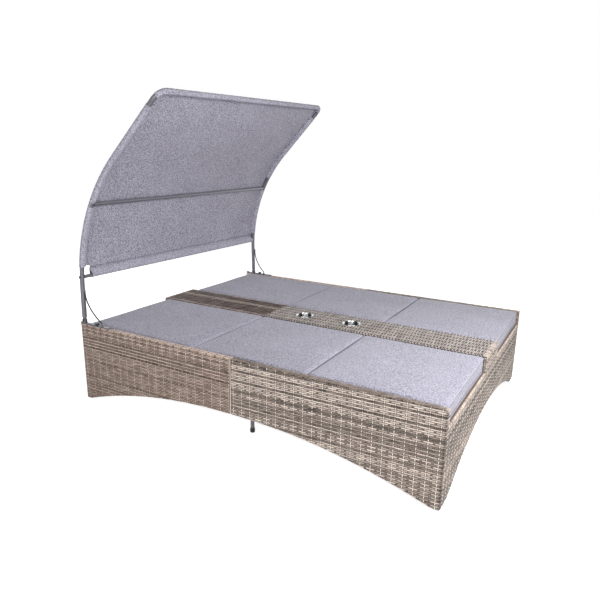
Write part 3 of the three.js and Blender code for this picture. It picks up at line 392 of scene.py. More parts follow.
def painted_shade_backing(name, settings):
    """The dark backing behind the strands, seen only in the gaps; its dark colour is painted shade of the
    hollow behind the weave.
    """
    finish = Finish(name, Specular_IOR_Level=0.2)
    grain = finish.noise(finish.place(), 160.0, 3.0)
    stops = [(0.3, scaled(settings.dark, 0.35)), (0.7, scaled(settings.dark, 0.8))]
    finish.colour(finish.ramp(grain, stops))
    finish.bump(grain, 0.0008, 0.6)
    finish.rough(finish.spread(grain, 0.2, 0.8, 0.6, 0.85))
    return finish.material


def flat_weave(name, settings):
    """A plain weave drawn by the shader, for the decks that lie under the cushions."""
    finish = Finish(name, Specular_IOR_Level=0.35)
    across, along = (finish.wave(finish.place(), 15.9, direction) for direction in "XY")
    checks = finish.sum(across, along, "MULTIPLY")
    grain = finish.noise(finish.place((40.0, 400.0, 400.0)), 1.0, 3.0)
    value = finish.sum(finish.spread(checks, 0.0, 1.0, 0.15, 0.75), finish.spread(grain, 0.3, 0.7, -0.1, 0.1))
    stops = [(0.0, scaled(settings.dark, 0.6)), (0.5, settings.middle), (1.0, settings.pale)]
    finish.colour(finish.ramp(value, stops))
    finish.bump(checks, 0.0015, 0.8)
    finish.rough(finish.spread(grain, 0.2, 0.8, 0.45, 0.65))
    return finish.material


def heather_cloth(
    name, pale, dark, thread, contrast=0.5, mottle=0.5, slub=0.14, sheen=0.25, painted_light=False
):
    """Woven cloth of mixed threads: light and dark flecks, crossing yarns and a faint fuzz.

    contrast and mottle say how strong its finer and coarser flecks are, slub how fine the coarser ones are.
    When asked to, it lets the mesh's own tone paint light and shade into the cloth: painted shade in dark
    lines beside sewn edges and beside the piping, painted highlights that make the sleeves and the top piping
    paler, and a paler hem."""
    finish = Finish(name, Specular_IOR_Level=0.15, Sheen_Weight=sheen, Sheen_Roughness=0.6)
    place = finish.place()
    flecks = finish.noise(place, 0.30 / thread, 2.0, 0.6)
    coarse = finish.noise(place, slub / thread, 2.0, 0.6)
    broad = finish.noise(place, 6.0, 2.0, 0.5)
    warp = finish.noise(finish.place((0.08, 1.0, 1.0)), 0.9 / thread, 1.0)
    weft = finish.noise(finish.place((1.0, 0.08, 1.0)), 0.9 / thread, 1.0)
    threads = finish.sum(warp, weft)
    value = finish.sum(finish.spread(flecks, 0.3, 0.7, -0.5 * contrast, 0.5 * contrast), 0.5)
    value = finish.sum(value, finish.spread(coarse, 0.3, 0.7, -0.5 * mottle, 0.5 * mottle))
    value = finish.sum(value, finish.spread(threads, 0.7, 1.3, -0.15, 0.15))
    value = finish.sum(value, finish.spread(broad, 0.3, 0.7, -0.05, 0.05))
    # Painted light and shade: the mesh's tone makes the cloth darker or paler
    if painted_light:
        tone = finish.attribute("tone", "Fac")
        value = finish.sum(value, finish.spread(tone, 0.0, 1.0, -0.6, 0.6))
    finish.colour(finish.ramp(value, [(0.0, dark), (1.0, pale)]))
    finish.bump(finish.sum(threads, flecks), 0.0006, 0.5)
    finish.rough(finish.spread(flecks, 0.2, 0.8, 0.85, 0.95))
    return finish.material


def coated_steel(name, colour):
    """Powder-coated steel: an even colour with a fine orange peel and a little dust."""
    finish = Finish(name, Metallic=0.2, Specular_IOR_Level=0.5, Coat_Weight=0.3, Coat_Roughness=0.2)
    peel = finish.noise(finish.place(), 900.0)
    dust = finish.noise(finish.place(), 35.0, 4.0, 0.65)
    finish.colour(finish.mix(finish.spread(dust, 0.35, 0.75, 0.0, 0.5), colour, scaled(colour, 1.35)))
    finish.bump(peel, 0.0001, 0.35)
    finish.rough(finish.spread(dust, 0.3, 0.7, 0.30, 0.46))
    return finish.material


def bare_steel(name, colour):
    """Bare steel with fine drawn lines."""
    finish = Finish(name, Metallic=1.0)
    lines = finish.noise(finish.place(), 400.0, 3.0)
    smears = finish.noise(finish.place(), 30.0, 3.0)
    finish.colour(finish.mix(finish.spread(smears, 0.35, 0.7, 0.0, 0.35), colour, scaled(colour, 0.86)))
    finish.bump(lines, 0.00004, 0.25)
    finish.rough(finish.spread(finish.sum(lines, smears), 0.7, 1.3, 0.34, 0.46))
    return finish.material


def steel_with_painted_reflection(name, colour):
    """Polished spun steel with a painted reflection: the mesh's tone paints bright and dark bands into its
    colour.
    """
    finish = Finish(name, Metallic=1.0)
    lines = finish.noise(finish.place((0.05, 0.05, 1.0)), 900.0)
    # Painted reflection: the tone mixes between near black and the steel's colour
    finish.colour(finish.mix(finish.attribute("tone", "Fac"), scaled(colour, 0.06), colour))
    finish.bump(lines, 0.00003, 0.2)
    finish.rough(finish.spread(lines, 0.3, 0.7, 0.20, 0.28))
    return finish.material


def moulded_plastic(name, colour):
    """Moulded black plastic with a light spark-eroded grain."""
    finish = Finish(name, Specular_IOR_Level=0.45)
    grain = finish.noise(finish.place(), 1400.0)
    wear = finish.noise(finish.place(), 60.0, 4.0, 0.7)
    finish.colour(finish.mix(finish.spread(wear, 0.45, 0.8, 0.0, 0.6), colour, scaled(colour, 2.2)))
    finish.bump(grain, 0.00006, 0.5)
    finish.rough(finish.spread(wear, 0.3, 0.7, 0.45, 0.62))
    return finish.material


def braided_cord(name, colour):
    """A braided cord: crossed helical yarns drawn along its length."""
    finish = Finish(name, Specular_IOR_Level=0.2, Sheen_Weight=0.2)
    turn = finish.stretched(finish.attribute("strand", "Vector"), (260.0, 6.0, 1.0))
    one, two = (
        finish.wave(finish.stretched(turn, (1, 1, 1), (0, 0, angle)), 0.5)
        for angle in (math.radians(45), math.radians(-45))
    )
    braid = finish.sum(one, two, "MULTIPLY")
    finish.colour(finish.ramp(braid, [(0.0, scaled(colour, 0.5)), (1.0, scaled(colour, 1.4))]))
    finish.bump(braid, 0.0004, 0.7)
    finish.rough(finish.spread(braid, 0.0, 1.0, 0.9, 0.7))
    return finish.material


# Settings
def colour_property(name, description, default):
    return bpy.props.FloatVectorProperty(
        name=name, description=description, default=(*default, 1.0), size=4, min=0.0, max=1.0, subtype="COLOR"
    )


def length_property(name, description, default):
    return bpy.props.FloatProperty(
        name=name, description=description, default=default, min=0.0, unit="LENGTH", subtype="DISTANCE",
        precision=4,
    )


def angle_property(name, description, degrees):
    return bpy.props.FloatProperty(
        name=name, description=description, default=math.radians(degrees), subtype="ANGLE", unit="ROTATION"
    )


def power_property(name, description, watts):
    return bpy.props.FloatProperty(name=name, description=description, default=watts, unit="POWER")


def share_property(name, description, default):
    return bpy.props.FloatProperty(name=name, description=description, default=default, min=0.0)


class DaybedWeaveSettings(bpy.types.PropertyGroup):
    """Sizes and colours of the woven panels."""

    strand_width: length_property("Strand width", "Width of one flat strand", 0.0062)
    row_pitch: length_property("Row pitch", "Distance from one row of strand to the next", 0.0083)
    head_pitch: length_property("Head stake pitch", "Distance between the head modules' stakes", 0.0253)
    foot_pitch: length_property("Foot stake pitch", "Distance between the foot modules' stakes", 0.0230)
    row_drop: length_property("Row drop", "How far the foot modules' rows run down to the seam", 0.0200)
    stake_width: length_property("Stake width", "Width of an upright stake", 0.0044)
    crown: length_property("Crown", "How far a strand's middle stands above its edges", 0.0014)
    dip: length_property("Dip", "How far a strand goes in where it passes under a stake", 0.0026)
    inset: length_property("Backing inset", "How far the backing lies behind the strands", 0.0044)
    dark: colour_property("Dark strand", "Colour of the darkest strands", (0.060, 0.043, 0.034))
    middle: colour_property("Middle strand", "Colour of the strands between", (0.385, 0.296, 0.247))
    pale: colour_property("Pale strand", "Colour of the palest strands", (0.850, 0.693, 0.600))


class DaybedClothSettings(bpy.types.PropertyGroup):
    """Sizes and colours of the cushions and the canopy's cloth."""

    piping: length_property("Piping", "Diameter of the piping along a cushion's edges", 0.0052)
    puff: length_property("Puff", "The most that the filling pushes the cover out", 0.0030)
    pressure: share_property("Pressure", "Pressure of the filling", 4.0)
    voxel: length_property("Cover mesh", "Size of the cover's mesh while it is filled", 0.0075)
    sag: length_property("Sag", "How far the canopy's sheet hangs in between its tubes", 0.0060)
    cushion_pale: colour_property("Cushion pale", "Palest thread of the cushions", (0.590, 0.574, 0.680))
    cushion_dark: colour_property("Cushion dark", "Darkest thread of the cushions", (0.187, 0.182, 0.232))
    canopy_pale: colour_property("Canopy pale", "Palest thread of the canopy", (0.605, 0.584, 0.688))
    canopy_dark: colour_property("Canopy dark", "Darkest thread of the canopy", (0.168, 0.162, 0.202))


class DaybedMetalSettings(bpy.types.PropertyGroup):
    """Colours of the metal and plastic parts."""

    coated: colour_property("Coated steel", "Colour of the powder coat", (0.136, 0.133, 0.156))
    plain: colour_property("Plain steel", "Colour of the zinc-plated parts", (0.420, 0.420, 0.430))
    polished: colour_property("Polished steel", "Colour of the cup holders", (0.930, 0.930, 0.940))
    plastic: colour_property("Plastic", "Colour of the knobs, caps and glides", (0.012, 0.012, 0.014))
    cord: colour_property("Cord", "Colour of the check cords", (0.070, 0.070, 0.080))


class DaybedStageSettings(bpy.types.PropertyGroup):
    """The camera, the lights and the floor."""

    lens: bpy.props.FloatProperty(
        name="Lens", description="Focal length", default=33.61, min=1.0, unit="CAMERA"
    )
    yaw: angle_property("Camera yaw", "Direction of view about the upright axis", 119.579)
    pitch: angle_property("Camera pitch", "How far the camera looks down", 15.024)
    roll: angle_property("Camera roll", "How far the camera leans", 0.894)
    place: bpy.props.FloatVectorProperty(
        name="Camera place", description="Where the camera stands", default=(1.4512, -2.7124, 1.3568),
        subtype="TRANSLATION", unit="LENGTH",
    )
    key_power: power_property("Key light", "Power of the key light", 44.0)
    side_power: power_property("Side light", "Power of the light on the near side", 74.0)
    far_power: power_property("Far light", "Power of the light on the far side", 44.0)
    back_power: power_property("Back light", "Power of the light at the head end", 50.0)
    world: share_property("Room light", "Strength of the room's light", 0.165)
    glow: share_property("Floor glow", "How white the floor shows by itself", 0.9)
    floor: colour_property("Floor", "Colour of the floor", (0.80, 0.80, 0.80))


# Woven panels
SIDE_ARCH_HALF, SIDE_ARCH_RISE = HALF_LENGTH - 0.03, 0.154
END_ARCH_HALF, END_ARCH_RISE = HALF_WIDTH - 0.096, 0.148
PANEL_CORNER = 0.008
RAIL_EDGE = 0.005
SEAM_BINDING = ((0.0006, 0.0014), (0.0016, 0.0), (0.0046, 0.0), (0.0056, 0.0014))
SKIN_STARTS = {"head": 0.0080, "foot": 0.0018}
END_SEAM_Y = {"near": 0.1344, "far": -0.1356}
# Painted shade: how much darker the foot modules' corner and end face are painted
FOOT_END_SHADE = -0.26


def arch_height(distance, half, rise):
    share = min(abs(distance) / half, 1.0)
    return PANEL_LIFT + rise * (1 - share**2.2)


class PanelPath:
    """The plan of one module's skin: from the seam along the side, round the corner and along the end."""

    def __init__(self, side_name, end_name):
        self.side, self.end = SIDES[side_name], ENDS[end_name]
        self.side_length = HALF_LENGTH - PANEL_CORNER - SEAM_GAP
        self.arc_length = PANEL_CORNER * math.pi / 2
        self.end_start = self.side_length + self.arc_length
        self.length = self.end_start + HALF_WIDTH - PANEL_CORNER + END_SEAM_Y[side_name]
        self.start = SKIN_STARTS[end_name]

    def at(self, s):
        """The place in plan and the outward direction at a distance from the seam."""
        if s <= self.side_length:
            x, y, nx, ny = SEAM_GAP + s, HALF_WIDTH, 0.0, 1.0
        elif s <= self.end_start:
            angle = (s - self.side_length) / PANEL_CORNER
            nx, ny = math.sin(angle), math.cos(angle)
            x = HALF_LENGTH - PANEL_CORNER + PANEL_CORNER * nx
            y = HALF_WIDTH - PANEL_CORNER + PANEL_CORNER * ny
        else:
            rest = s - self.side_length - self.arc_length
            x, y, nx, ny = HALF_LENGTH, HALF_WIDTH - PANEL_CORNER - rest, 1.0, 0.0
        return x * self.end, y * self.side, nx * self.end, ny * self.side

    def low(self, s):
        """The height of the arch's edge."""
        x, y, _, _ = self.at(s)
        if s <= self.side_length:
            return arch_height(x, SIDE_ARCH_HALF, SIDE_ARCH_RISE)
        if s <= self.end_start:
            return PANEL_LIFT
        return arch_height(y, END_ARCH_HALF, END_ARCH_RISE)

    def reach(self, z):
        """The stretches of the path where a row at this height exists."""
        if z < DECK_TOP - 0.004:
            return [(self.start, self.length)]
        middle = self.end_start + HALF_WIDTH - PANEL_CORNER
        spans = [(self.start, middle - RAIL_INNER)]
        if self.side < 0:
            spans.append((middle - HALF_CONSOLE, self.length))
        return spans

    def surface(self, s, z, depth):
        x, y, nx, ny = self.at(s)
        return (x - nx * depth, y - ny * depth, z)


class Profile:
    """A rail's or console's cross-section as a path, for strands that run along or across it."""

    def __init__(self, corners, radius):
        self.points = np.array(smooth_profile(corners, [radius] * (len(corners) - 2), 6))
        steps = np.linalg.norm(np.diff(self.points, axis=0), axis=1)
        self.lengths = np.concatenate([[0], np.cumsum(steps)])
        self.length = self.lengths[-1]

    def at(self, t):
        t = min(max(t, 0.0), self.length)
        i = min(int(np.searchsorted(self.lengths, t, side="right")) - 1, len(self.points) - 2)
        share = (t - self.lengths[i]) / max(self.lengths[i + 1] - self.lengths[i], TINY)
        point = self.points[i] * (1 - share) + self.points[i + 1] * share
        before = self.points[max(i - 1, 0)]
        after = self.points[min(i + 2, len(self.points) - 1)]
        along = (after - before) / np.linalg.norm(after - before)
        return point, np.array([along[1], -along[0]])


STRAND_SECTION = ((-1.0, 1.0), (-0.62, 0.3), (0.0, 0.0), (0.62, 0.3), (1.0, 1.0))
STAKE_SECTION = ((-1.0, 0.8), (0.0, 0.0), (1.0, 0.8))
STAKE_DIPS = ((-1.0, 1.0), (-0.62, 0.30), (0.0, 0.0), (0.62, 0.30), (1.0, 1.0))
OVER_STAKE = ((-0.008, 0.08), (0.0, -0.1), (0.008, 0.08))
EDGE_STEP = 0.006
DIP_REACH = 0.0062
# Painted shade: how much darker a strand is painted where it goes in under a stake
DIP_SHADE = 0.55


def bounded(value):
    return min(max(value, 0.0), 1.0)


def strand_samples(start, end, stakes, under, reach, fine):
    """Places along one row with how deep it lies and how wide it is there.

    It dips under the stakes named, and has more places where it is near an edge."""
    dips = ((-reach, 0.0, 1.0), (-0.42 * reach, 1.0, 0.6), (0.42 * reach, 1.0, 0.6), (reach, 0.0, 1.0))
    samples = [(start, 0.0, 1.0), (end, 0.0, 1.0)]
    for index, stake in enumerate(stakes):
        if under(index):
            samples.extend((stake + at, depth, width) for at, depth, width in dips)
        else:
            samples.extend((stake + at, depth, 1.0) for at, depth in OVER_STAKE)
    samples = sorted(s for s in samples if start <= s[0] <= end)
    extra = []
    for (a, da, wa), (b, db, wb) in zip(samples, samples[1:]):
        count = int((b - a) / EDGE_STEP) if fine(a) or fine(b) else 0
        for i in range(1, count):
            share = i / count
            extra.append((a + (b - a) * share, da + (db - da) * share, wa + (wb - wa) * share))
    return sorted(samples + extra)


class Weave:
    """Rows of strand over and under stakes, on a surface given by two lengths and a depth.

    rows holds each row's place across, and spans gives the stretches where it lies. low and high give the
    surface's edges along a row."""

    def __init__(self, form, settings, chance, surface, spans, rows, stakes, low=None, high=None):
        self.form, self.settings, self.chance = form, settings, chance
        self.surface, self.spans, self.rows, self.stakes = surface, spans, rows, stakes
        self.low = low or (lambda s: -math.inf)
        self.high = high or (lambda s: math.inf)

    def held(self, s, t):
        """A place across, kept between the surface's edges."""
        return min(max(t, self.low(s)), self.high(s))

    def add_strands(self, tones, reach=DIP_REACH, shift=lambda s: 0.0):
        """Adds the rows.

        tones gives a row its tone and how much its dashes vary, and shift changes the tone by the place, as
        the painted shade on the foot end's face does."""
        settings, chance = self.settings, self.chance
        half = settings.strand_width / 2
        for number, centre in enumerate(self.rows):
            tone, vary = tones(number, centre)
            jitter = chance.uniform(-0.0004, 0.0004)
            for start, end in self.spans(centre):
                samples = strand_samples(
                    start, end, self.stakes, lambda i: (i + number) % 2 == 1, reach,
                    lambda s: self.low(s) > centre - half - 0.012,
                )
                dash, dash_tone = [], tone + chance.uniform(-vary, vary)
                seed = chance.uniform(0, 50)
                for s, depth, width in samples:
                    points = []
                    for side, crown in STRAND_SECTION:
                        t = self.held(s, centre + jitter + side * half * width)
                        lift = max(depth * settings.dip + crown * settings.crown, 0.0)
                        points.append(self.surface(s, t, lift))
                    marks = [(s, side * half, seed) for side, _ in STRAND_SECTION]
                    dash.append((points, marks, depth))
                    if depth == 1.0 and len(dash) > 2:
                        self.add_dash(dash, dash_tone, shift)
                        dash = dash[-1:]
                        dash_tone = tone + chance.uniform(-vary, vary)
                        seed = chance.uniform(0, 50)
                if len(dash) > 1:
                    self.add_dash(dash, dash_tone, shift)

    def add_dash(self, dash, tone, shift):
        """One visible length of strand, with painted shade where it goes in under a stake."""
        points, marks, depths = zip(*dash)
        tones = [
            [bounded(tone + shift(mark[0][0]) - DIP_SHADE * max(depth, 0.0))] * len(mark)
            for mark, depth in zip(marks, depths)
        ]
        self.form.add_grid(points, marks, tones)

    def add_stakes(self, tone):
        """Adds the short lengths of each stake that show where a row goes behind it; two tones take turns."""
        settings, chance = self.settings, self.chance
        half = settings.stake_width / 2
        margin, reach = 0.2 * settings.row_pitch, 0.5 * settings.row_pitch
        for number, centre in enumerate(self.rows):
            for index, stake in enumerate(self.stakes):
                if (index + number) % 2 == 0 or not any(a <= stake <= b for a, b in self.spans(centre)):
                    continue
                if self.low(stake) > centre - margin or self.high(stake) < centre + margin:
                    continue
                seed = chance.uniform(0, 50)
                points, marks = [], []
                for share, depth in STAKE_DIPS:
                    t = self.held(stake, centre + share * reach)
                    sunk = depth * settings.dip * 0.75
                    points.append([
                        self.surface(stake + side * half, t, sunk + edge * settings.crown)
                        for side, edge in STAKE_SECTION
                    ])
                    marks.append([(t, side * half, seed) for side, _ in STAKE_SECTION])
                self.form.add_grid(points, marks, bounded(tone[index % 2] + chance.uniform(-0.1, 0.1)))


# The tone of each row in hundredths, from the rail down
HEAD_TONES = (
    50, 52, 68, 28, 66, 48, 46, 40, 26, 64, 26, 62, 30, 62, 12, 54, 50, 56, 50, 54, 48, 54, 50, 28, 52, 46,
    54, 48, 52, 46, 54, 48, 50, 44, 30, 52, 46, 54, 46, 52, 28, 50, 44, 52, 42, 50, 40, 46, 34, 38, 26,
)
FOOT_TONES = (
    22, 25, 28, 68, 70, 66, 22, 70, 62, 70, 64, 66, 22, 68, 62, 68, 60, 30, 22, 32, 66, 56, 32, 40, 30, 40,
    28, 64, 32, 40, 62, 32, 64, 50, 26, 60, 68, 60, 68, 60, 50, 28, 60, 38, 62, 40, 62, 38, 60, 36, 58, 34,
    54, 32,
)
FOOT_EXTRA_ROWS = 3

# Where the modules differ: the tones of their rows and how much these vary, of their stakes and of their rail
MODULE_LOOKS = {
    "head": {"rows": HEAD_TONES, "vary": 0.10, "stakes": (0.84, 0.42), "rail": 0.80},
    "foot": {"rows": FOOT_TONES, "vary": 0.14, "stakes": (0.95, 0.24), "rail": 0.29},
}
RAIL_VARY = 0.08
RAIL_INSIDE = 0.045
INSIDE_TONE, INSIDE_VARY = 0.40, 0.12
RAIL_WRAP_TONE, END_WRAP_TONE, CONSOLE_WRAP_TONE = 0.62, 0.5, 0.42
WRAP_SECTION = ((-1.0, 0.8), (-0.5, 0.1), (0.5, 0.1), (1.0, 0.8))
CHEEK_REACH = 0.0120
BINDING_TONE = 0.95


def inset_backing(node, settings, name):
    """A copy of a panel's CAD node whose outer faces lie a little further in, behind the strands."""
    piece = copy_of(node, name)
    for vertex in piece.data.vertices:
        x, y, z = vertex.co
        if abs(y) > HALF_WIDTH - ON_FACE:
            vertex.co.y = math.copysign(HALF_WIDTH - settings.inset, y)
        if abs(x) > HALF_LENGTH - ON_FACE:
            vertex.co.x = math.copysign(HALF_LENGTH - settings.inset, x)
        if z > RAIL_TOP - ON_FACE:
            vertex.co.z = RAIL_TOP - settings.inset
        if abs(abs(y) - RAIL_INNER) < ON_FACE and z > DECK_TOP - 0.05:
            vertex.co.y = math.copysign(RAIL_INNER + settings.inset, y)
        if abs(z - DECK_TOP) < ON_FACE and abs(x) > HALF_LENGTH - 0.01:
            vertex.co.z = DECK_TOP - settings.inset
    return piece


class ModuleSkin:
    """The woven skin of one module: its side, its corner, its end, its rail and the bindings of its edges."""

    def __init__(self, side_name, end_name, settings):
        self.name = f"{side_name}_{end_name}_woven_skin"
        self.side, self.end, self.foot = SIDES[side_name], ENDS[end_name], end_name == "foot"
        self.looks, self.settings, self.form = MODULE_LOOKS[end_name], settings, Form()
        self.chance = random.Random(f"{side_name} {end_name}")
        self.path = PanelPath(side_name, end_name)
        pitch = settings.foot_pitch if self.foot else settings.head_pitch
        self.stakes = list(np.arange(pitch * 0.5, self.path.length, pitch))
        self.edge_z = RAIL_TOP - RAIL_EDGE
        outer, inner = self.side * HALF_WIDTH, self.side * RAIL_INNER
        corners = [(outer, self.edge_z), (outer, RAIL_TOP), (inner, RAIL_TOP), (inner, DECK_TOP)]
        self.profile = Profile(corners, RAIL_EDGE)

    def made(self, strand):
        self.add_panels()
        self.add_rail()
        self.add_wraps()
        if not self.foot:
            self.add_binding()
        return self.form.make(self.name, strand)

    def add_panels(self):
        """The side, the corner and the end; the foot modules' rows run down towards the seam."""
        path, pitch, looks = self.path, self.settings.row_pitch, self.looks
        drop = self.settings.row_drop if self.foot else 0.0
        first = -FOOT_EXTRA_ROWS if self.foot else 0
        rows = [self.edge_z - pitch * (k + 0.5) for k in range(first, int(self.edge_z / pitch))]

        def lowered(s):
            return drop * max(0.0, 1 - s / path.side_length)

        def surface(s, t, depth):
            return path.surface(s, t - lowered(s), depth)

        def spans(centre):
            over = centre - 0.3 * pitch - self.edge_z
            if over <= 0:
                return path.reach(centre)
            return [(path.start, path.side_length * (1 - over / drop))] if over < drop else []

        def tones(number, centre):
            return looks["rows"][min(number, len(looks["rows"]) - 1)] / 100, looks["vary"]

        panels = Weave(
            self.form, self.settings, self.chance, surface, spans, rows, self.stakes,
            lambda s: path.low(s) + lowered(s), lambda s: self.edge_z + lowered(s),
        )
        # The foot modules' corner and end face get painted shade
        end_shade = FOOT_END_SHADE if self.foot else 0.0
        panels.add_strands(tones, shift=lambda s: end_shade if s > path.side_length else 0.0)
        panels.add_stakes(looks["stakes"])

    def rail_surface(self, s, t, depth):
        """The rail's surface: round its outer edge, over the top and down its inner face."""
        point, normal = self.profile.at(t)
        y, z = point[0] - self.side * normal[0] * depth, point[1] - self.side * normal[1] * depth
        return (self.end * (SEAM_GAP + s), y, z)

    def add_rail(self):
        pitch, tone = self.settings.row_pitch, self.looks["rail"]
        reach = HALF_LENGTH - SEAM_GAP - 0.003
        rail = Weave(
            self.form, self.settings, self.chance, self.rail_surface, lambda t: [(self.path.start, reach)],
            list(np.arange(pitch * 0.42, self.profile.length - 0.003, pitch * 0.97)),
            [s for s in self.stakes if s < reach - 0.01],
        )
        rail.add_strands(
            lambda number, t: (tone, RAIL_VARY) if t < RAIL_INSIDE else (INSIDE_TONE, INSIDE_VARY)
        )
        rail.add_stakes((tone + 0.15, 0.2))

    def add_wraps(self):
        """The strands wound over the rail's end and over the end panel's top edge."""
        pitch = self.settings.row_pitch
        for k in range(3):
            self.add_wrap(self.side * (HALF_WIDTH - 0.006 - pitch * k), RAIL_TOP, RAIL_WRAP_TONE)
        for y in np.arange(HALF_CONSOLE + 0.006, RAIL_INNER - 0.004, pitch * 0.9):
            self.add_wrap(self.side * y, DECK_TOP, END_WRAP_TONE)
        if self.side < 0:
            for y in np.arange(-HALF_CONSOLE + 0.006, HALF_CONSOLE - 0.004, pitch):
                self.add_wrap(y, RAIL_TOP, CONSOLE_WRAP_TONE, reach=0.02)
            self.add_cheeks()

    def add_wrap(self, y, top, tone, reach=0.012):
        """One short strand wound over the top edge of an end panel."""
        half = self.settings.strand_width * 0.46
        seed = self.chance.uniform(0, 50)
        rows, marks = [], []
        corners = [(HALF_LENGTH, top - 0.012), (HALF_LENGTH, top), (HALF_LENGTH - reach, top)]
        for i, (x, z) in enumerate(smooth_profile(corners, [RAIL_EDGE])):
            row = []
            for side, crown in WRAP_SECTION:
                lift = crown * self.settings.crown
                row.append((self.end * (x - lift), y + side * half, z - lift))
            rows.append(row)
            marks.append([(i * 0.003, side * half, seed) for side, _ in WRAP_SECTION])
        self.form.add_grid(rows, marks, bounded(tone + self.chance.uniform(-0.18, 0.18)))

    def add_cheeks(self):
        """Short strands over the two small side faces of the end panel where it rises to the console."""
        half = self.settings.strand_width / 2
        for side in (-1.0, 1.0):
            y = side * (HALF_CONSOLE + 0.0002)
            for z in np.arange(DECK_TOP + half, RAIL_TOP - half, self.settings.row_pitch):
                across = [self.end * (HALF_LENGTH - x) for x in (0.0004, CHEEK_REACH)]
                rows = [[(x, y, z + t) for x in across] for t in (-half, half)]
                marks = [[(x, t, z) for x in (0.0, CHEEK_REACH)] for t in (-half, half)]
                self.form.add_grid(rows, marks, 0.5 + self.chance.uniform(-0.15, 0.15))

    def add_binding(self):
        """The strand that binds the module's edge at the seam."""
        heights = np.arange(self.path.low(0.0), self.edge_z, 0.008)
        lengths = np.arange(0.0, self.profile.length, 0.004)
        for upright, places in ((self.path.surface, heights), (self.rail_surface, lengths)):
            binding = [[upright(s, t, d) for s, d in SEAM_BINDING] for t in places]
            marks = [[(t, s - 0.003, 3.0) for s, _ in SEAM_BINDING] for t in places]
            self.form.add_grid(binding, marks, BINDING_TONE)


class DAYBED_OT_woven_panels(bpy.types.Operator):
    """Weave the side and end panels of the four modules"""

    bl_idname = "daybed.woven_panels"
    bl_label = "Woven panels"

    def execute(self, context):
        settings = context.scene.daybed_weave
        # The backing's near-black colour is painted shade
        backing = painted_shade_backing("Strand backing", settings)
        for end, tint in (("head", (1.03, 1.0, 0.99)), ("foot", (1.13, 1.19, 1.22))):
            strand = woven_strand(f"Flat strand {end}", settings, tint)
            for side in SIDES:
                module = f"{side}_{end}"
                skin = ModuleSkin(side, end, settings).made(strand)
                finish_piece(skin, "base", [f"{module}_side_panel", f"{module}_end_panel"])
                for part in ("side", "end"):
                    back = inset_backing(f"{module}_{part}_panel", settings, f"{module}_{part}_backing")
                    finish_piece(back, "base", material=backing)
        return {"FINISHED"}


# Console covers
CUP_HOLE = 0.0445
DARK_ROWS = ((-0.115, 0.012), (0.05, 0.12))


class DAYBED_OT_console(bpy.types.Operator):
    """Weave the two console covers between the rows of cushions"""

    bl_idname = "daybed.console"
    bl_label = "Console covers"

    def execute(self, context):
        settings = context.scene.daybed_weave
        backing = bpy.data.materials["Strand backing"]
        for end, tint in (("head", (0.62, 0.61, 0.62)), ("foot", (0.68, 0.75, 0.81))):
            node = f"console_{end}_cover"
            low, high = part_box(node)
            base = DECK_TOP - 0.008
            left, right = -HALF_CONSOLE, HALF_CONSOLE
            profile = Profile([(left, base), (left, RAIL_TOP), (right, RAIL_TOP), (right, base)], 0.006)
            form = Form()
            weave = self.weave_along if end == "head" else self.weave_across
            weave(form, profile, low[0], high[0], settings, random.Random(node))
            skin = form.make(f"console_{end}_weave", woven_strand(f"Console strand {end}", settings, tint))
            finish_piece(skin, "base", [node])
            back = copy_of(node, f"console_{end}_backing")
            for vertex in back.data.vertices:
                if vertex.co.z > RAIL_TOP - ON_FACE:
                    vertex.co.z = RAIL_TOP - settings.inset
                if abs(vertex.co.y) > HALF_CONSOLE - ON_FACE:
                    vertex.co.y = math.copysign(HALF_CONSOLE - settings.inset, vertex.co.y)
            finish_piece(back, "base", material=backing)
        return {"FINISHED"}

    def weave_along(self, form, profile, x0, x1, settings, chance):
        """Rows that run the length of the console, from the head end."""

        def surface(s, t, depth):
            point, normal = profile.at(t)
            return (x0 + s, point[0] + normal[0] * depth, point[1] + normal[1] * depth)

        def tones(number, t):
            y = t - profile.length / 2
            return (0.20 if any(low < y < high for low, high in DARK_ROWS) else 0.66), 0.18

        length = x1 - x0
        rows = list(np.arange(settings.row_pitch / 2, profile.length, settings.row_pitch))
        stakes = list(np.arange(settings.head_pitch / 2, length, settings.head_pitch))
        cover = Weave(form, settings, chance, surface, lambda t: [(0.0, length)], rows, stakes)
        cover.add_strands(tones)
        cover.add_stakes((0.6, 0.2))

    def weave_across(self, form, profile, x0, x1, settings, chance):
        """Rows that run across the console and down its sides, with room for the two cup holders."""
        cups = [round_part(f"{end}_cup_holder")[0] for end in ENDS]
        middle = profile.length / 2

        def surface(s, t, depth):
            point, normal = profile.at(s)
            return (x0 + t, point[0] + normal[0] * depth, point[1] + normal[1] * depth)

        def spans(t):
            x = x0 + t
            for cup in cups:
                gap = abs(x - cup)
                if gap < CUP_HOLE:
                    half = math.sqrt(CUP_HOLE**2 - gap**2)
                    return [(0.0, middle - half), (middle + half, profile.length)]
            return [(0.0, profile.length)]

        rows = list(np.arange(settings.row_pitch / 2, x1 - x0, settings.row_pitch))
        pitch = 2 * settings.foot_pitch
        stakes = list(np.arange((profile.length % pitch) / 2, profile.length, pitch))
        cover = Weave(form, settings, chance, surface, spans, rows, stakes)
        # Wide dips, so that the painted shade in them shows as dark dotted lines
        cover.add_strands(lambda number, t: (0.66, 0.14), reach=0.0140)
        cover.add_stakes((0.1, 0.1))


# Cup holders
# Painted reflection on the cup holders: bright and dark bands painted by the angle round the upright axis
PAINTED_REFLECTION_AXIS = math.radians(115.5)
PAINTED_REFLECTION_BANDS = ((0.05, 0.15), (0.42, 1.0), (1.05, 0.03), (2.0, 0.8))


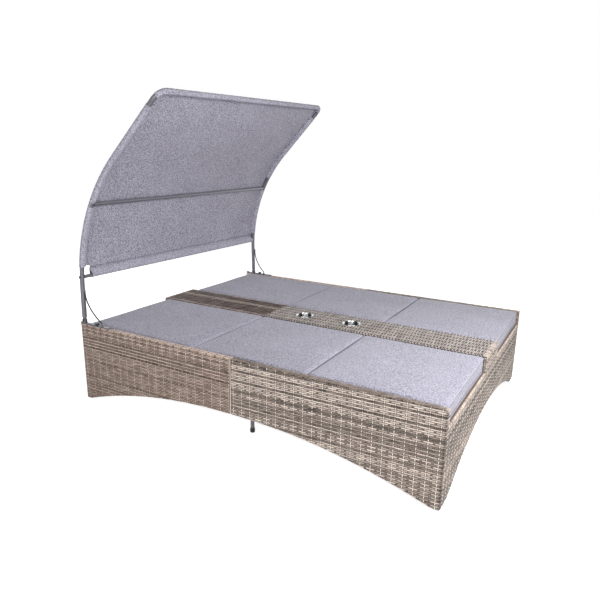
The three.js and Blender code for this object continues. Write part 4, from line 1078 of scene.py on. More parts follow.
class DAYBED_OT_cup_holders(bpy.types.Operator):
    """Turn the two polished cup holders with rolled rims"""

    bl_idname = "daybed.cup_holders"
    bl_label = "Cup holders"

    def execute(self, context):
        steel = steel_with_painted_reflection("Polished steel", context.scene.daybed_metal.polished)
        for end in ENDS:
            node = f"{end}_cup_holder"
            x, _, _, floor, top = round_part(node)
            corners = [
                (0.0, floor), (0.039, floor), (0.042, top - 0.0016), (0.0500, top - 0.0016), (0.0500, top),
                (0.0405, top), (0.0375, floor + 0.0015), (0.0, floor + 0.0015),
            ]
            line = smooth_profile(corners, [0.004, 0.0006, 0.0007, 0.0007, 0.003, 0.006])
            form = Form()
            add_turned(form, line, x, 0.0, 96, self.streak)
            cup = form.make(f"{node}_turned", merge=0.00005)
            finish_piece(cup, "base", [node], steel)
        return {"FINISHED"}

    def streak(self, angle):
        """The painted reflection: how bright the steel is painted at an angle round its axis."""
        away = abs((angle - PAINTED_REFLECTION_AXIS + math.pi / 2) % math.pi - math.pi / 2)
        return next(tone for limit, tone in PAINTED_REFLECTION_BANDS if away < limit)


# Frames, decks and folding parts
class DAYBED_OT_frames(bpy.types.Operator):
    """Finish the welded frames, the decks, the racks, the stays and the hinge rods"""

    bl_idname = "daybed.frames"
    bl_label = "Frames and decks"

    def execute(self, context):
        metal = context.scene.daybed_metal
        coat = coated_steel("Powder-coated steel", metal.coated)
        zinc = bare_steel("Zinc-plated steel", metal.plain)
        deck = flat_weave("Deck weave", context.scene.daybed_weave)
        for side in SIDES:
            for name, material in (
                ("head_frame", coat), ("foot_frame", coat), ("backrest_frame", coat),
                ("stay_rack", zinc), ("backrest_stay", zinc), ("hinge_rod", zinc),
                ("head_seat_deck", deck), ("foot_seat_deck", deck), ("backrest_deck", deck),
            ):
                dress(f"{side}_{name}", material)
        return {"FINISHED"}


def dress(node, material):
    """Gives a CAD node that stays as it is its finish."""
    NODES[node].data.materials.clear()
    NODES[node].data.materials.append(material)


# Support legs, caps and glides
class DAYBED_OT_legs(bpy.types.Operator):
    """Finish the round support legs with their caps and the corner glides"""

    bl_idname = "daybed.legs"
    bl_label = "Legs and glides"

    def execute(self, context):
        coat = bpy.data.materials["Powder-coated steel"]
        plastic = moulded_plastic("Black plastic", context.scene.daybed_metal.plastic)
        for side in SIDES:
            for place in ("outer", "inner"):
                self.leg(f"{side}_{place}_support_leg", coat)
                self.cap(f"{side}_{place}_leg_cap", plastic)
            for end in ENDS:
                rounded_node(f"{side}_{end}_glide", "base", plastic, 0.0008)
        return {"FINISHED"}

    def leg(self, node, coat):
        x, y, radius, floor, top = round_part(node)
        wall, edge = radius - 0.0015, 0.0004
        line = [
            (wall, top), (wall, floor), (radius - edge, floor), (radius, floor + edge), (radius, top - edge),
            (radius - edge, top), (wall, top),
        ]
        form = Form()
        add_turned(form, line, x, y, 32)
        finish_piece(form.make(f"{node}_tube", merge=0.00001), "base", [node], coat)

    def cap(self, node, plastic):
        x, y, radius, floor, top = round_part(node)
        bore, inside = radius - 0.002, floor + 0.003
        corners = [
            (0.0, floor), (radius - 0.0015, floor), (radius, inside), (radius - 0.0003, top - 0.002),
            (radius - 0.0006, top), (bore, top), (bore, inside), (0.0, inside),
        ]
        form = Form()
        line = smooth_profile(corners, [0.0012, 0.001, 0.0006, 0.0006, 0.0005, 0.0005], 4)
        add_turned(form, line, x, y, 32)
        finish_piece(form.make(f"{node}_moulded", merge=0.00001), "base", [node], plastic)


# Cushions
CUSHION_SPANS = {"head": (-0.965, -0.252), "middle": (-0.248, 0.378), "foot": (0.382, 0.990)}
CUSHION_HALF = 0.310
CUSHION_ROW = 0.4475
PIPING_REACH = 0.3122
CLOTH_FRAMES = 14


def rounded_ring(half_x, half_y, corner, steps, spacing):
    """Places about the spacing apart, round a rectangle with round corners."""
    outline = []
    for sx, sy, start in ((1, 1, 0), (-1, 1, 90), (-1, -1, 180), (1, -1, 270)):
        x, y = sx * (half_x - corner), sy * (half_y - corner)
        for i in range(steps + 1):
            angle = math.radians(start + 90 * i / steps)
            outline.append((x + corner * math.cos(angle), y + corner * math.sin(angle)))
    ring = []
    for a, b in zip(outline, outline[1:] + outline[:1]):
        count = max(1, int(math.dist(a, b) / spacing))
        for i in range(count):
            ring.append((a[0] + (b[0] - a[0]) * i / count, a[1] + (b[1] - a[1]) * i / count))
    return ring


class DAYBED_OT_cushions(bpy.types.Operator):
    """Fill and pipe the six cushions and lay them on the decks"""

    bl_idname = "daybed.cushions"
    bl_label = "Cushions"

    def execute(self, context):
        cloth = context.scene.daybed_cloth
        pale, dark = cloth.cushion_pale, cloth.cushion_dark
        cover = heather_cloth("Cushion cloth", pale, dark, 0.0012, 0.66, 0.95, 0.19)
        piping = heather_cloth("Cushion piping", pale, dark, 0.0009, painted_light=True)
        for name, (x0, x1) in CUSHION_SPANS.items():
            form = self.filled(name, x0, x1, cloth)
            for side_name, side in SIDES.items():
                node = f"{side_name}_{name}_cushion"
                piece = self.laid(form, f"{node}_cover", (x0 + x1) / 2, side)
                piece.data.materials.append(cover)
                pipe = self.piped(piece, f"{node}_piping", x0, x1, side, cloth.piping, piping)
                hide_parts(node)
                if name == "head":
                    start, end = (-0.252, side * 0.45, DECK_TOP), (-0.47, side * 0.45, DECK_TOP)
                    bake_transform(piece)
                    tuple(start)
                    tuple(end)
                    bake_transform(pipe)
                    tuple(start)
                    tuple(end)
                else:
                    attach(piece, "base")
                    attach(pipe, "base")
            bpy.data.objects.remove(form)
        return {"FINISHED"}

    def filled(self, name, x0, x1, cloth):
        """A cushion's cover, centred in plan, blown up by its filling."""
        half_x, half_y = (x1 - x0) / 2 - 0.0010, CUSHION_HALF + 0.0002
        low, high = DECK_TOP + 0.0010, RAIL_TOP + 0.0005
        form = self.block(name, half_x, half_y, low, high)
        still = np.array([v.co[:] for v in form.data.vertices])
        add_modifier(form, "CLOTH")
        settings = form.modifiers["Cloth"].settings
        settings.quality = 4
        settings.use_pressure = True
        settings.uniform_pressure_force = cloth.pressure
        settings.effector_weights.gravity = 0.0
        settings.tension_stiffness = settings.compression_stiffness = 18.0
        settings.bending_stiffness = 0.6
        form.modifiers["Cloth"].point_cache.frame_end = 20
        for number in range(1, CLOTH_FRAMES + 1):
            bpy.context.scene.frame_set(number)
        apply_modifiers(form)
        bpy.context.scene.frame_set(1)
        moved = np.array([v.co[:] for v in form.data.vertices])
        edges = np.array([e.vertices[:] for e in form.data.edges])
        step = self.evened(moved - still, edges, 8)
        size = np.linalg.norm(step, axis=1, keepdims=True)
        step *= np.minimum(1.0, cloth.puff / np.maximum(size, TINY))
        placed = still + step
        shift = random.Random(name).uniform(0, 9)
        most_x, most_y = half_x + 0.0022, half_y + 0.0018
        for point in placed:
            if point[2] > high - 0.004:
                ripple = noise.noise(Vector((point[0] * 5 + shift, point[1] * 5, 0.0)))
                point[2] += 0.0016 * ripple
            point[0] = min(max(point[0], -most_x), most_x)
            point[1] = min(max(point[1], -most_y), most_y)
            point[2] = min(max(point[2], DECK_TOP + 0.0004), RAIL_TOP + 0.0060)
        form.data.vertices.foreach_set("co", placed.astype(np.float32).ravel())
        form.data.update()
        return form

    def evened(self, values, edges, rounds):
        """Each value replaced by the mean of itself and its neighbours', a few times over."""
        for _ in range(rounds):
            total, count = values.copy(), np.ones((len(values), 1))
            for a, b in (edges.T, edges.T[::-1]):
                np.add.at(total, a, values[b])
                np.add.at(count, a, 1.0)
            values = total / count
        return values

    def block(self, name, half_x, half_y, low, high):
        """The starting shape: a box whose upright edges are rounded and whose sides pull in between them."""
        form = Form()
        edge, foot, pull = 0.005, 0.003, 0.003
        ring = rounded_ring(half_x, half_y, 0.010, 6, 0.02)

        def drawn(x, y, inward):
            u, v = x / half_x, y / half_y
            x -= math.copysign(pull * (1 - v * v), x) * (abs(u) > 0.97)
            y -= math.copysign(pull * (1 - u * u), y) * (abs(v) > 0.97)
            return (x * (1 - inward / half_x), y * (1 - inward / half_y))

        levels = [(low, foot), (low + foot * 0.3, foot * 0.3), (low + foot, 0.0), (low + edge, 0.0)]
        levels += [(low + edge + (high - low - 2 * edge) * i / 4, 0.0) for i in range(1, 4)]
        levels += [(high - edge, 0.0), (high - edge * 0.3, edge * 0.3), (high, edge)]
        rings = [[(*drawn(x, y, inward), z) for x, y in ring] for z, inward in levels]
        form.add_grid(rings, closed=True)
        for level, flip in ((rings[0], True), (rings[-1], False)):
            self.fill_flat(form, level, flip)
        piece = form.make(f"cushion_{name}_form", merge=0.0002)
        voxel = bpy.context.scene.daybed_cloth.voxel
        add_modifier(piece, "REMESH", mode="VOXEL", voxel_size=voxel, use_smooth_shade=True)
        apply_modifiers(piece)
        piece.data.shade_smooth()
        return piece

    def fill_flat(self, form, ring, flip):
        """Closes the block's top, or its underside when flipped, with rings that narrow to the middle."""
        rings = [ring]
        for share in (0.8, 0.6, 0.4, 0.2, 0.02):
            rings.append([(x * share, y * share, z) for x, y, z in ring])
        if flip:
            rings = rings[::-1]
        form.add_grid(rings, closed=True)
        form.add_disc([rings[-1], rings[0]][flip])

    def laid(self, form, name, x, side):
        """The filled form laid in its place in one row; the far row's is turned about."""
        mesh = form.data.copy()
        piece = linked(name, mesh)
        mesh.materials.clear()
        if side > 0:
            mesh.transform(Matrix.Rotation(math.pi, 4, "Z"))
        mesh.transform(Matrix.Translation((x, side * CUSHION_ROW, 0.0)))
        add_modifier(piece, "SUBSURF", levels=1, render_levels=1)
        apply_modifiers(piece)
        piece.data.shade_smooth()
        return piece

    def piped(self, piece, name, x0, x1, side, diameter, material):
        """Piping along the top and bottom edges, laid on the filled cover, with thin dark loops beside it as
        painted shade.
        """
        form = Form()
        ring = rounded_ring((x1 - x0) / 2 - 0.0030, CUSHION_HALF - 0.0020, 0.012, 8, 0.012)
        row = side * CUSHION_ROW
        centre = Vector(((x0 + x1) / 2, row, 0.0))
        full, fine = diameter / 2, diameter * 0.36
        # Tone 0.0 paints shade in thin dark loops below the top piping and above the bottom one; the top
        # piping's paler tone is a painted highlight
        loops = (
            (RAIL_TOP - 0.0020, full, 0.68), (RAIL_TOP - 0.0120, fine, 0.0),
            (DECK_TOP + 0.0140, fine, 0.0), (DECK_TOP + 0.0035, full, 0.5),
        )
        for height, radius, tone in loops:
            line = []
            for x, y in ring:
                outward = Vector((x, y, 0)).normalized()
                target = centre + Vector((x, y, height)) + outward * 0.02
                _, where, normal, _ = piece.closest_point_on_mesh(target)
                line.append(tuple(where + normal * radius * 0.24))
            loop = np.array(line)
            loop = 0.25 * np.roll(loop, 1, axis=0) + 0.5 * loop + 0.25 * np.roll(loop, -1, axis=0)
            loop[:, 2] = np.clip(loop[:, 2], DECK_TOP + 0.0004 + radius, RAIL_TOP + 0.004)
            loop[:, 1] = np.clip(loop[:, 1], row - PIPING_REACH + radius, row + PIPING_REACH - radius)
            add_loop(form, loop, radius, 8, tone)
        pipe = form.make(name)
        pipe.data.materials.append(material)
        return pipe


def add_loop(form, line, radius, sides, tone):
    """A closed ring of tube, such as piping."""
    along = np.roll(line, -1, axis=0) - np.roll(line, 1, axis=0)
    along /= np.linalg.norm(along, axis=1)[:, None]
    turn = round_angles(sides)
    rings = []
    for point, direction in zip(line, along):
        a = np.cross(direction, (0.0, 0.0, 1.0))
        a /= np.linalg.norm(a)
        b = np.cross(direction, a)
        rings.append([tuple(point + radius * (math.cos(t) * a + math.sin(t) * b)) for t in turn])
    form.add_grid([*rings, rings[0]], tone=tone, closed=True)


# Canopy
def racked(x, y, z):
    """The slight twist that the bent canopy tube has, its near side further forward at the top."""
    angle = -RACK * y / POST_Y
    dx, dz = x - POST_X, z - RACK_HEIGHT
    return (
        POST_X + dx * math.cos(angle) + dz * math.sin(angle), y,
        RACK_HEIGHT + dz * math.cos(angle) - dx * math.sin(angle),
    )


ARC_TOP = STRAIGHT_TOP + BEND_RADIUS * math.sin(LEAN)
LEAN_LENGTH = (CANOPY_TOP - POST_RADIUS - ARC_TOP) / math.cos(LEAN)


def canopy_line(distance):
    """The canopy's centre line in X and Z with its direction.

    The distance is measured along it from the top of its straight part."""
    arc = BEND_RADIUS * LEAN
    if distance <= 0:
        return POST_X, STRAIGHT_TOP + distance, 0.0, 1.0
    if distance <= arc:
        angle = distance / BEND_RADIUS
        x = POST_X + BEND_RADIUS * (1 - math.cos(angle))
        return x, STRAIGHT_TOP + BEND_RADIUS * math.sin(angle), math.sin(angle), math.cos(angle)
    rest = distance - arc
    x = POST_X + BEND_RADIUS * (1 - math.cos(LEAN)) + rest * math.sin(LEAN)
    return x, ARC_TOP + rest * math.cos(LEAN), math.sin(LEAN), math.cos(LEAN)


def line_at_height(z):
    """The distance along the canopy's line at a height."""
    if z <= STRAIGHT_TOP:
        return z - STRAIGHT_TOP
    if z <= ARC_TOP:
        return BEND_RADIUS * math.asin((z - STRAIGHT_TOP) / BEND_RADIUS)
    return BEND_RADIUS * LEAN + (z - ARC_TOP) / math.cos(LEAN)


CANOPY_END = BEND_RADIUS * LEAN + LEAN_LENGTH
CORNER_START = CANOPY_END - CORNER_RADIUS
SLEEVE_RADIUS = POST_RADIUS + 0.0008
SIDE_FLAP = {"near": 0.0375, "far": 0.0165}
TOP_FLAP = 0.0150
BAR_SLIT = {"near": 0.0135, "far": 0.0850}
# Painted highlight: how much paler the side sleeves are painted, more on the near side
SLEEVE_PAINTED_HIGHLIGHT = {"near": 0.64, "far": 0.52}
# Painted shade along the sheet's edges beside the sleeves, darker on the near side
SEAM_PAINTED_SHADE = {"near": 0.2, "far": 0.42}
SIDE_WRAP = {"near": 1.28 * math.pi, "far": 1.5 * math.pi}
TOP_WRAP = 1.52 * math.pi
STITCH = (0.0, 0.003, 0.006)
STITCH_PITCH = 0.0095
STITCHED_HALF = 0.705


class DAYBED_OT_canopy_frame(bpy.types.Operator):
    """Bend the canopy's tube and set its two cross bars"""

    bl_idname = "daybed.canopy_frame"
    bl_label = "Canopy frame"

    def execute(self, context):
        coat = bpy.data.materials["Powder-coated steel"]
        form = Form()
        add_tube(form, self.tube_path(), POST_RADIUS, 24)
        finish_piece(form.make("canopy_tube"), "canopy", ["canopy_frame"], coat)
        self.feet(coat)
        self.bar("canopy_lower_bar", LOWER_BAR_Z, coat)
        self.bar("canopy_middle_bar", MIDDLE_BAR_Z, coat)
        return {"FINISHED"}

    def tube_path(self):
        """The bent tube's centre line, from the near post's foot over the top to the far one's."""
        post = np.linspace(POST_FOOT - STRAIGHT_TOP, 0.0, 8)[:-1]
        near = []
        for distance in (*post, *np.linspace(0.0, CORNER_START, 60)):
            x, z, _, _ = canopy_line(distance)
            near.append((x, -POST_Y, z))
        for i in range(1, 17):
            angle = math.pi / 2 * i / 16
            x, z, _, _ = canopy_line(CORNER_START + CORNER_RADIUS * math.sin(angle))
            near.append((x, -POST_Y + CORNER_RADIUS * (1 - math.cos(angle)), z))
        across = [(near[-1][0], y, near[-1][2]) for y in np.linspace(near[-1][1], 0.0, 12)[1:]]
        half = near + across
        far = [(x, -y, z) for x, y, z in half[-2::-1]]
        return [racked(*p) for p in half + far]

    def feet(self, coat):
        """The flattened tongues and the cord clips, as the frame's own node has them."""
        tongue = [(-0.009, 0.0)]
        for i in range(13):
            angle = math.pi + math.pi * i / 12
            tongue.append((0.009 * math.cos(angle), 0.009 * math.sin(angle)))
        tongue += [(0.0095, 0.004), (0.0118, 0.016), (0.0122, 0.034)]
        tongue += [(-0.0122, 0.034), (-0.0118, 0.016), (-0.0095, 0.004)]
        tongue = [(POST_X + x, PIVOT_Z + z) for x, z in tongue]
        x0, x1 = POST_X + POST_RADIUS - 0.002, POST_X + POST_RADIUS + 0.009
        clip = [(x0, -0.0058), (x1 - 0.004, -0.0058), (x1, -0.002)]
        clip += [(x1, 0.002), (x1 - 0.004, 0.0058), (x0, 0.0058)]
        clip = [(x, CLIP_Z + z) for x, z in clip]
        for side_name, side in SIDES.items():
            for name, outline, half, edge, angle in (
                ("post_tongue", tongue, 0.004, 0.0009, 40), ("cord_clip", clip, 0.003, 0.0007, 30),
            ):
                piece = self.plate(f"{side_name}_{name}", outline, side * POST_Y, half)
                soften(piece, edge, 3, angle)
                finish_piece(piece, "canopy", material=coat)

    def plate(self, name, outline, y, half):
        """An upright plate from its outline in X and Z, in the plane of a post."""
        front, back = ([racked(x, y + reach, z) for x, z in outline] for reach in (-half, half))
        form = Form()
        form.add_disc(front)
        form.add_disc(back[::-1])
        form.add_grid([back, front], closed=True)
        return form.make(name, flat=True, merge=0.00001)

    def bar(self, node, height, coat):
        low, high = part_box(node)
        x, z, _, _ = canopy_line(line_at_height(height))
        path = [racked(x, y, z) for y in np.linspace(low[1] + 0.0002, high[1] - 0.0002, 41)]
        form = Form()
        add_tube(form, path, BAR_RADIUS, 20)
        finish_piece(form.make(f"{node}_tube"), "canopy", [node], coat)


class DAYBED_OT_canopy_cloth(bpy.types.Operator):
    """Stretch the canopy's sheet over its frame, with sleeves, hems and stitching"""

    bl_idname = "daybed.canopy_cloth"
    bl_label = "Canopy cloth"

    def execute(self, context):
        cloth = context.scene.daybed_cloth
        pale, dark = cloth.canopy_pale, cloth.canopy_dark
        # The canopy's tone paints shade beside its sewn edges and highlights on its sleeves
        cover = heather_cloth("Canopy cloth", pale, dark, 0.0013, 1.0, 1.15, 0.21, 0.1, True)
        thread = heather_cloth("Sewing thread", scaled(pale, 1.2), pale, 0.0008)
        form = Form()
        self.main_sheet(form, cloth.sag)
        self.side_sleeves(form)
        self.top_sleeve(form)
        self.bottom_hem(form)
        sheet = form.make("canopy_sheet", cover, merge=0.0002)
        add_modifier(sheet, "SOLIDIFY", thickness=0.0009, offset=0.0)
        apply_modifiers(sheet)
        sheet.data.shade_smooth()
        finish_piece(sheet, "canopy", ["canopy_fabric"])
        stitches = self.stitching(thread)
        finish_piece(stitches, "canopy")
        return {"FINISHED"}

    def sheet_point(self, distance, y, offset):
        """The place at a distance behind the canopy's line."""
        x, z, dx, dz = canopy_line(distance)
        return (x - dz * offset, y, z + dx * offset)

    def back_offset(self, distance, y, sag):
        """How far the sheet lies behind the line: over the tubes at the sides, slacker between them."""
        inner = POST_RADIUS + 0.0016
        edge_y = POST_Y - SIDE_FLAP["near" if y < 0 else "far"] - 0.0025
        share = max(0.0, 1 - (y / edge_y) ** 2)
        bar = line_at_height(MIDDLE_BAR_Z)
        low, high = (line_at_height(LOWER_BAR_Z), bar) if distance < bar else (bar, CANOPY_END)
        bay = math.sin(math.pi * (distance - low) / (high - low)) ** 2
        ripple = noise.noise(Vector((y * 3.1, distance * 2.3, 4.0))) * 0.0022
        ripple += noise.noise(Vector((y * 9.0, distance * 4.0, 8.0))) * 0.0009
        bow = bay * share * sag
        edge = math.exp(-((edge_y - abs(y)) / 0.05) ** 2)
        pucker = 0.0008 * edge * math.sin(distance * 2 * math.pi / 0.043)
        return inner - bow + (ripple * bay + abs(ripple) * 0.3) * (1 - edge) + pucker

    def sheet_reach(self, distance, side_name):
        """How far the sheet goes to one side: to the sleeve, and behind the bare tube at the top corner."""
        if distance < line_at_height(SLEEVE_BOTTOM - 0.001):
            return HEM_REACH[side_name] + (0.0140 if side_name == "far" else 0.0)
        if distance < CORNER_START - SLEEVE_CORNER_GAP:
            return POST_Y - SIDE_FLAP[side_name] - 0.001
        rise = max(0.0, min((distance - CORNER_START) / CORNER_RADIUS, 1.0))
        return POST_Y - 0.001 - CORNER_RADIUS * (1 - math.sqrt(1 - rise * rise))

    def main_sheet(self, form, sag):
        low = line_at_height(LOWER_BAR_Z + HEM_HEIGHT * 0.5)
        hem = line_at_height(LOWER_BAR_Z + HEM_HEIGHT)
        flap = CANOPY_END - TOP_FLAP
        places = [*np.linspace(low, CORNER_START - SLEEVE_CORNER_GAP - 0.001, 140)]
        places += [CORNER_START - SLEEVE_CORNER_GAP + 0.001 + i * 0.006 for i in range(8)]
        places += [CORNER_START + CORNER_RADIUS * math.sin(math.pi / 2 * i / 14) for i in range(15)]
        places += [hem - 0.001, hem + 0.003, flap - 0.004, flap - 0.0005]
        shares = [-1.0, -0.996, -0.992, *np.linspace(-0.985, 0.985, 154), 0.992, 0.996, 1.0]
        rows, tones = [], []
        for distance in sorted(places):
            reach = [self.sheet_reach(distance, side_name) for side_name in SIDES]
            row = []
            for share in shares:
                y = share * reach[int(share > 0)]
                row.append(racked(*self.sheet_point(distance, y, self.back_offset(distance, y, sag))))
            rows.append(row)
            # Painted shade: dark lines in the sheet's tone along its side edges beside the sleeves, and
            # across it at the hem and under the top flap
            sewn = hem - 0.002 < distance < hem + 0.004 or flap - 0.005 < distance < flap
            edges = {-1: SEAM_PAINTED_SHADE["near"], 1: SEAM_PAINTED_SHADE["far"], 0: 0.2 if sewn else 0.5}
            tones.append([edges[round(share * (abs(share) > 0.995))] for share in shares])
        form.add_grid(rows, tone=tones)

    def sewn_wave(self, distance):
        """How far a sewn edge stands off the sheet; it waves a little along its length."""
        return 0.0006 * math.sin(distance * 2 * math.pi / 0.05)

    def sleeve_ring(self, centre, outward, back, sewn, flap, wrap, last=None):
        """One ring of a sleeve: from the sheet, round the tube and back to the sheet.

        outward and back are the tube's own directions, and last ends the ring early, at a slit."""
        radius = SLEEVE_RADIUS
        section = [(-flap - 0.001, radius + sewn), (-0.5 * flap - 0.004, radius), (-0.008, radius)]
        for i in range(19):
            angle = math.pi / 2 - wrap * i / 18
            section.append((radius * math.cos(angle), radius * math.sin(angle)))
        out, behind = section[-1]
        for share in (0.35, 0.7, 1.0):
            section.append((out - (out + flap) * share, behind + (radius - 0.0026 - behind) * share**1.4))
        ring = []
        for out, behind in section[:last]:
            ring.append(racked(*(Vector(centre) + Vector(outward) * out + Vector(back) * behind)))
        return ring

    def side_sleeves(self, form):
        """The cloth from the sheet's edge round each post and back, open where the middle bar goes in."""
        start, end = line_at_height(SLEEVE_BOTTOM), CORNER_START - SLEEVE_CORNER_GAP
        bar = line_at_height(MIDDLE_BAR_Z)
        below = bar - 0.0135
        for side_name, side in SIDES.items():
            above = bar + BAR_SLIT[side_name]
            for low, high, count, last in (
                (start, below, 60, None), (below, above, 9, 13), (above, end, 80, None),
            ):
                rows = []
                for distance in np.linspace(low, high, count):
                    x, z, dx, dz = canopy_line(distance)
                    ring = self.sleeve_ring(
                        (x, side * POST_Y, z), (0, side, 0), (-dz, 0, dx), self.sewn_wave(distance),
                        SIDE_FLAP[side_name], SIDE_WRAP[side_name], last,
                    )
                    rows.append(ring[::-1] if side > 0 else ring)
                form.add_grid(rows, tone=SLEEVE_PAINTED_HIGHLIGHT[side_name])

    def top_sleeve(self, form):
        """The sleeve round the top tube, from one corner's bend to the other's."""
        _, _, dx, dz = canopy_line(CANOPY_END)
        begin = math.acos(1 - TOP_SLEEVE_INSET / CORNER_RADIUS)
        near = []
        for angle in np.linspace(begin, math.pi / 2, 10):
            x, z, _, _ = canopy_line(CORNER_START + CORNER_RADIUS * math.sin(angle))
            y = POST_Y - CORNER_RADIUS * (1 - math.cos(angle))
            near.append(((x, -y, z), (dx * math.sin(angle), -math.cos(angle), dz * math.sin(angle))))
        x, z, _, _ = canopy_line(CANOPY_END)
        top = POST_Y - CORNER_RADIUS
        across = [((x, y, z), (dx, 0.0, dz)) for y in np.linspace(-top, top, 150)[1:-1]]
        far = [((c[0], -c[1], c[2]), (o[0], -o[1], o[2])) for c, o in reversed(near)]
        rows = []
        for centre, outward in near + across + far:
            sewn = self.sewn_wave(centre[1])
            rows.append(self.sleeve_ring(centre, outward, (-dz, 0, dx), sewn, TOP_FLAP, TOP_WRAP))
        # The top sleeve is painted a little paler, a painted highlight along the top edge
        form.add_grid(rows, tone=0.56)

    def bottom_hem(self, form):
        """The hem round the lower bar: down the back, round the bar and up the front."""
        x, _, _, _ = canopy_line(line_at_height(LOWER_BAR_Z))
        radius = BAR_RADIUS + 0.0018
        back = POST_RADIUS + 0.0026
        section = [(-back, 0.0405), (-back, 0.028), (-back, 0.012), (-back + 0.0004, 0.0)]
        for i in range(1, 15):
            angle = math.pi + math.pi * i / 14
            section.append((radius * math.cos(angle), radius * math.sin(angle)))
        section += [(radius, 0.006), (radius - 0.003, 0.014), (-0.004, 0.026), (-back + 0.0016, 0.0385)]
        rows = []
        for px, pz in section:
            row = []
            for y in np.linspace(-HEM_REACH["near"], HEM_REACH["far"], 160):
                wave = 0.0006 * math.sin(y * 90) * (pz > 0.01)
                row.append(racked(x + px + wave, y, LOWER_BAR_Z + pz))
            rows.append(row)
        form.add_grid(rows, tone=0.62)

    def stitching(self, thread):
        """Rows of short stitches beside the sleeves and hems, front and back."""
        form = Form()
        top, hem = CANOPY_END - TOP_FLAP + 0.003, line_at_height(LOWER_BAR_Z + HEM_HEIGHT) - 0.003
        start = line_at_height(SLEEVE_BOTTOM) + 0.004
        end = CORNER_START - SLEEVE_CORNER_GAP - 0.008
        for offset in (POST_RADIUS + 0.0028, POST_RADIUS + 0.0003):
            for side_name, side in SIDES.items():
                y = side * (POST_Y - SIDE_FLAP[side_name] - 0.004)
                for distance in np.arange(start, end, STITCH_PITCH):
                    self.add_stitch(form, offset, [(distance + d, y) for d in STITCH])
            for distance in (top, hem):
                for y in np.arange(-STITCHED_HALF, STITCHED_HALF, STITCH_PITCH):
                    self.add_stitch(form, offset, [(distance, y + d) for d in STITCH])
        return form.make("canopy_stitching", thread)

    def add_stitch(self, form, offset, places):
        """One short stitch of thread through places given by distance and Y."""
        line = [racked(*self.sheet_point(distance, y, offset)) for distance, y in places]
        add_tube(form, line, 0.0005, 5)


# Check cords
CORD_SHARES = (
    (0.0, 0.0), (0.002, 0.082), (0.048, 0.237), (0.157, 0.413), (0.318, 0.582),
    (0.507, 0.73), (0.702, 0.853), (0.86, 0.935), (1.0, 1.0),
)


class DAYBED_OT_check_cords(bpy.types.Operator):
    """Hang the two check cords between the posts and the brackets"""

    bl_idname = "daybed.check_cords"
    bl_label = "Check cords"

    def execute(self, context):
        braid = braided_cord("Braided cord", context.scene.daybed_metal.cord)
        for side_name, side in SIDES.items():
            y = side * POST_Y
            start = Vector(racked(POST_X + POST_RADIUS + 0.0045, y, CLIP_Z - 0.0065))
            end = Vector((CORD_END_X, y, CORD_END_Z))
            way = end - start
            knots = [start + Vector((way.x * a, 0.0, way.z * d)) for a, d in CORD_SHARES]
            line = self.smooth_line(knots, 36)
            form = Form()
            add_tube(form, line, CORD_RADIUS, 12)
            node = f"{side_name}_check_cord"
            piece = form.make(f"{node}_braid", braid)
            length = sum((b - a).length for a, b in zip(map(Vector, line), map(Vector, line[1:])))
            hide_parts(node)
            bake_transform(piece)
            [tuple(p) for p in line]
        return {"FINISHED"}

    def smooth_line(self, knots, count):
        """Even places on a smooth curve through the knots."""
        dense = []
        for i in range(len(knots) - 1):
            a, b = knots[max(i - 1, 0)], knots[i]
            c, d = knots[i + 1], knots[min(i + 2, len(knots) - 1)]
            for step in range(12):
                t = step / 12
                second, third = 2 * a - 5 * b + 4 * c - d, 3 * b - a - 3 * c + d
                dense.append(0.5 * ((2 * b) + (c - a) * t + second * t * t + third * t**3))
        dense.append(knots[-1])
        lengths = [0.0]
        for a, b in zip(dense, dense[1:]):
            lengths.append(lengths[-1] + (b - a).length)
        line = []
        for target in np.linspace(0, lengths[-1], count):
            i = min(int(np.searchsorted(lengths, target, side="right")) - 1, len(dense) - 2)
            share = (target - lengths[i]) / max(lengths[i + 1] - lengths[i], TINY)
            line.append(tuple(dense[i].lerp(dense[i + 1], min(share, 1.0))))
        return line


# Brackets, bolts and knobs
class DAYBED_OT_hardware(bpy.types.Operator):
    """Finish the canopy's brackets, pivot bolts and clamp knobs"""

    bl_idname = "daybed.hardware"
    bl_label = "Brackets and knobs"

    def execute(self, context):
        coat = bpy.data.materials["Powder-coated steel"]
        plastic = bpy.data.materials["Black plastic"]
        for side in SIDES:
            rounded_node(f"{side}_canopy_bracket", "base", coat, 0.0008, 3)
            rounded_node(f"{side}_canopy_bolt", "base", plastic, 0.0009, 3)
            rounded_node(f"{side}_clamp_knob", f"{side}_knob", plastic, 0.0012, 3)
            self.bar_bolt(side, plastic)
        return {"FINISHED"}

    def bar_bolt(self, side, plastic):
        """The capped bolt that holds the lower bar's end through the post."""
        form = Form()
        outward = SIDES[side]
        line = smooth_profile([(0.0068, -0.0035), (0.0068, 0.0024), (0.0, 0.0030)], [0.0016], 4)
        turn = round_angles(24)
        rings = []
        for radius, reach in line:
            y = outward * (POST_Y + POST_RADIUS + reach)
            ring = []
            for t in turn:
                x, z = POST_X + outward * radius * math.cos(t), LOWER_BAR_Z + radius * math.sin(t)
                ring.append(racked(x, y, z))
            rings.append(ring)
        form.add_grid(rings, closed=True)
        form.add_disc(rings[0])
        piece = form.make(f"{side}_bar_bolt", merge=0.00001)
        finish_piece(piece, "canopy", material=plastic)


# Stage
LAMPS = (
    ("Key light", "key_power", (1.8, -0.5, 1.8), (0.6, -0.2, 0.4), 1.2),
    ("Side light", "side_power", (0.7, -4.3, 1.1), (0.0, -0.8, 0.25), 2.6),
    ("Far light", "far_power", (0.2, 4.4, 0.7), (0.0, 0.8, 0.25), 2.4),
    ("Back light", "back_power", (-4.3, 0.6, 1.0), (-0.9, 0.0, 0.8), 2.4),
)


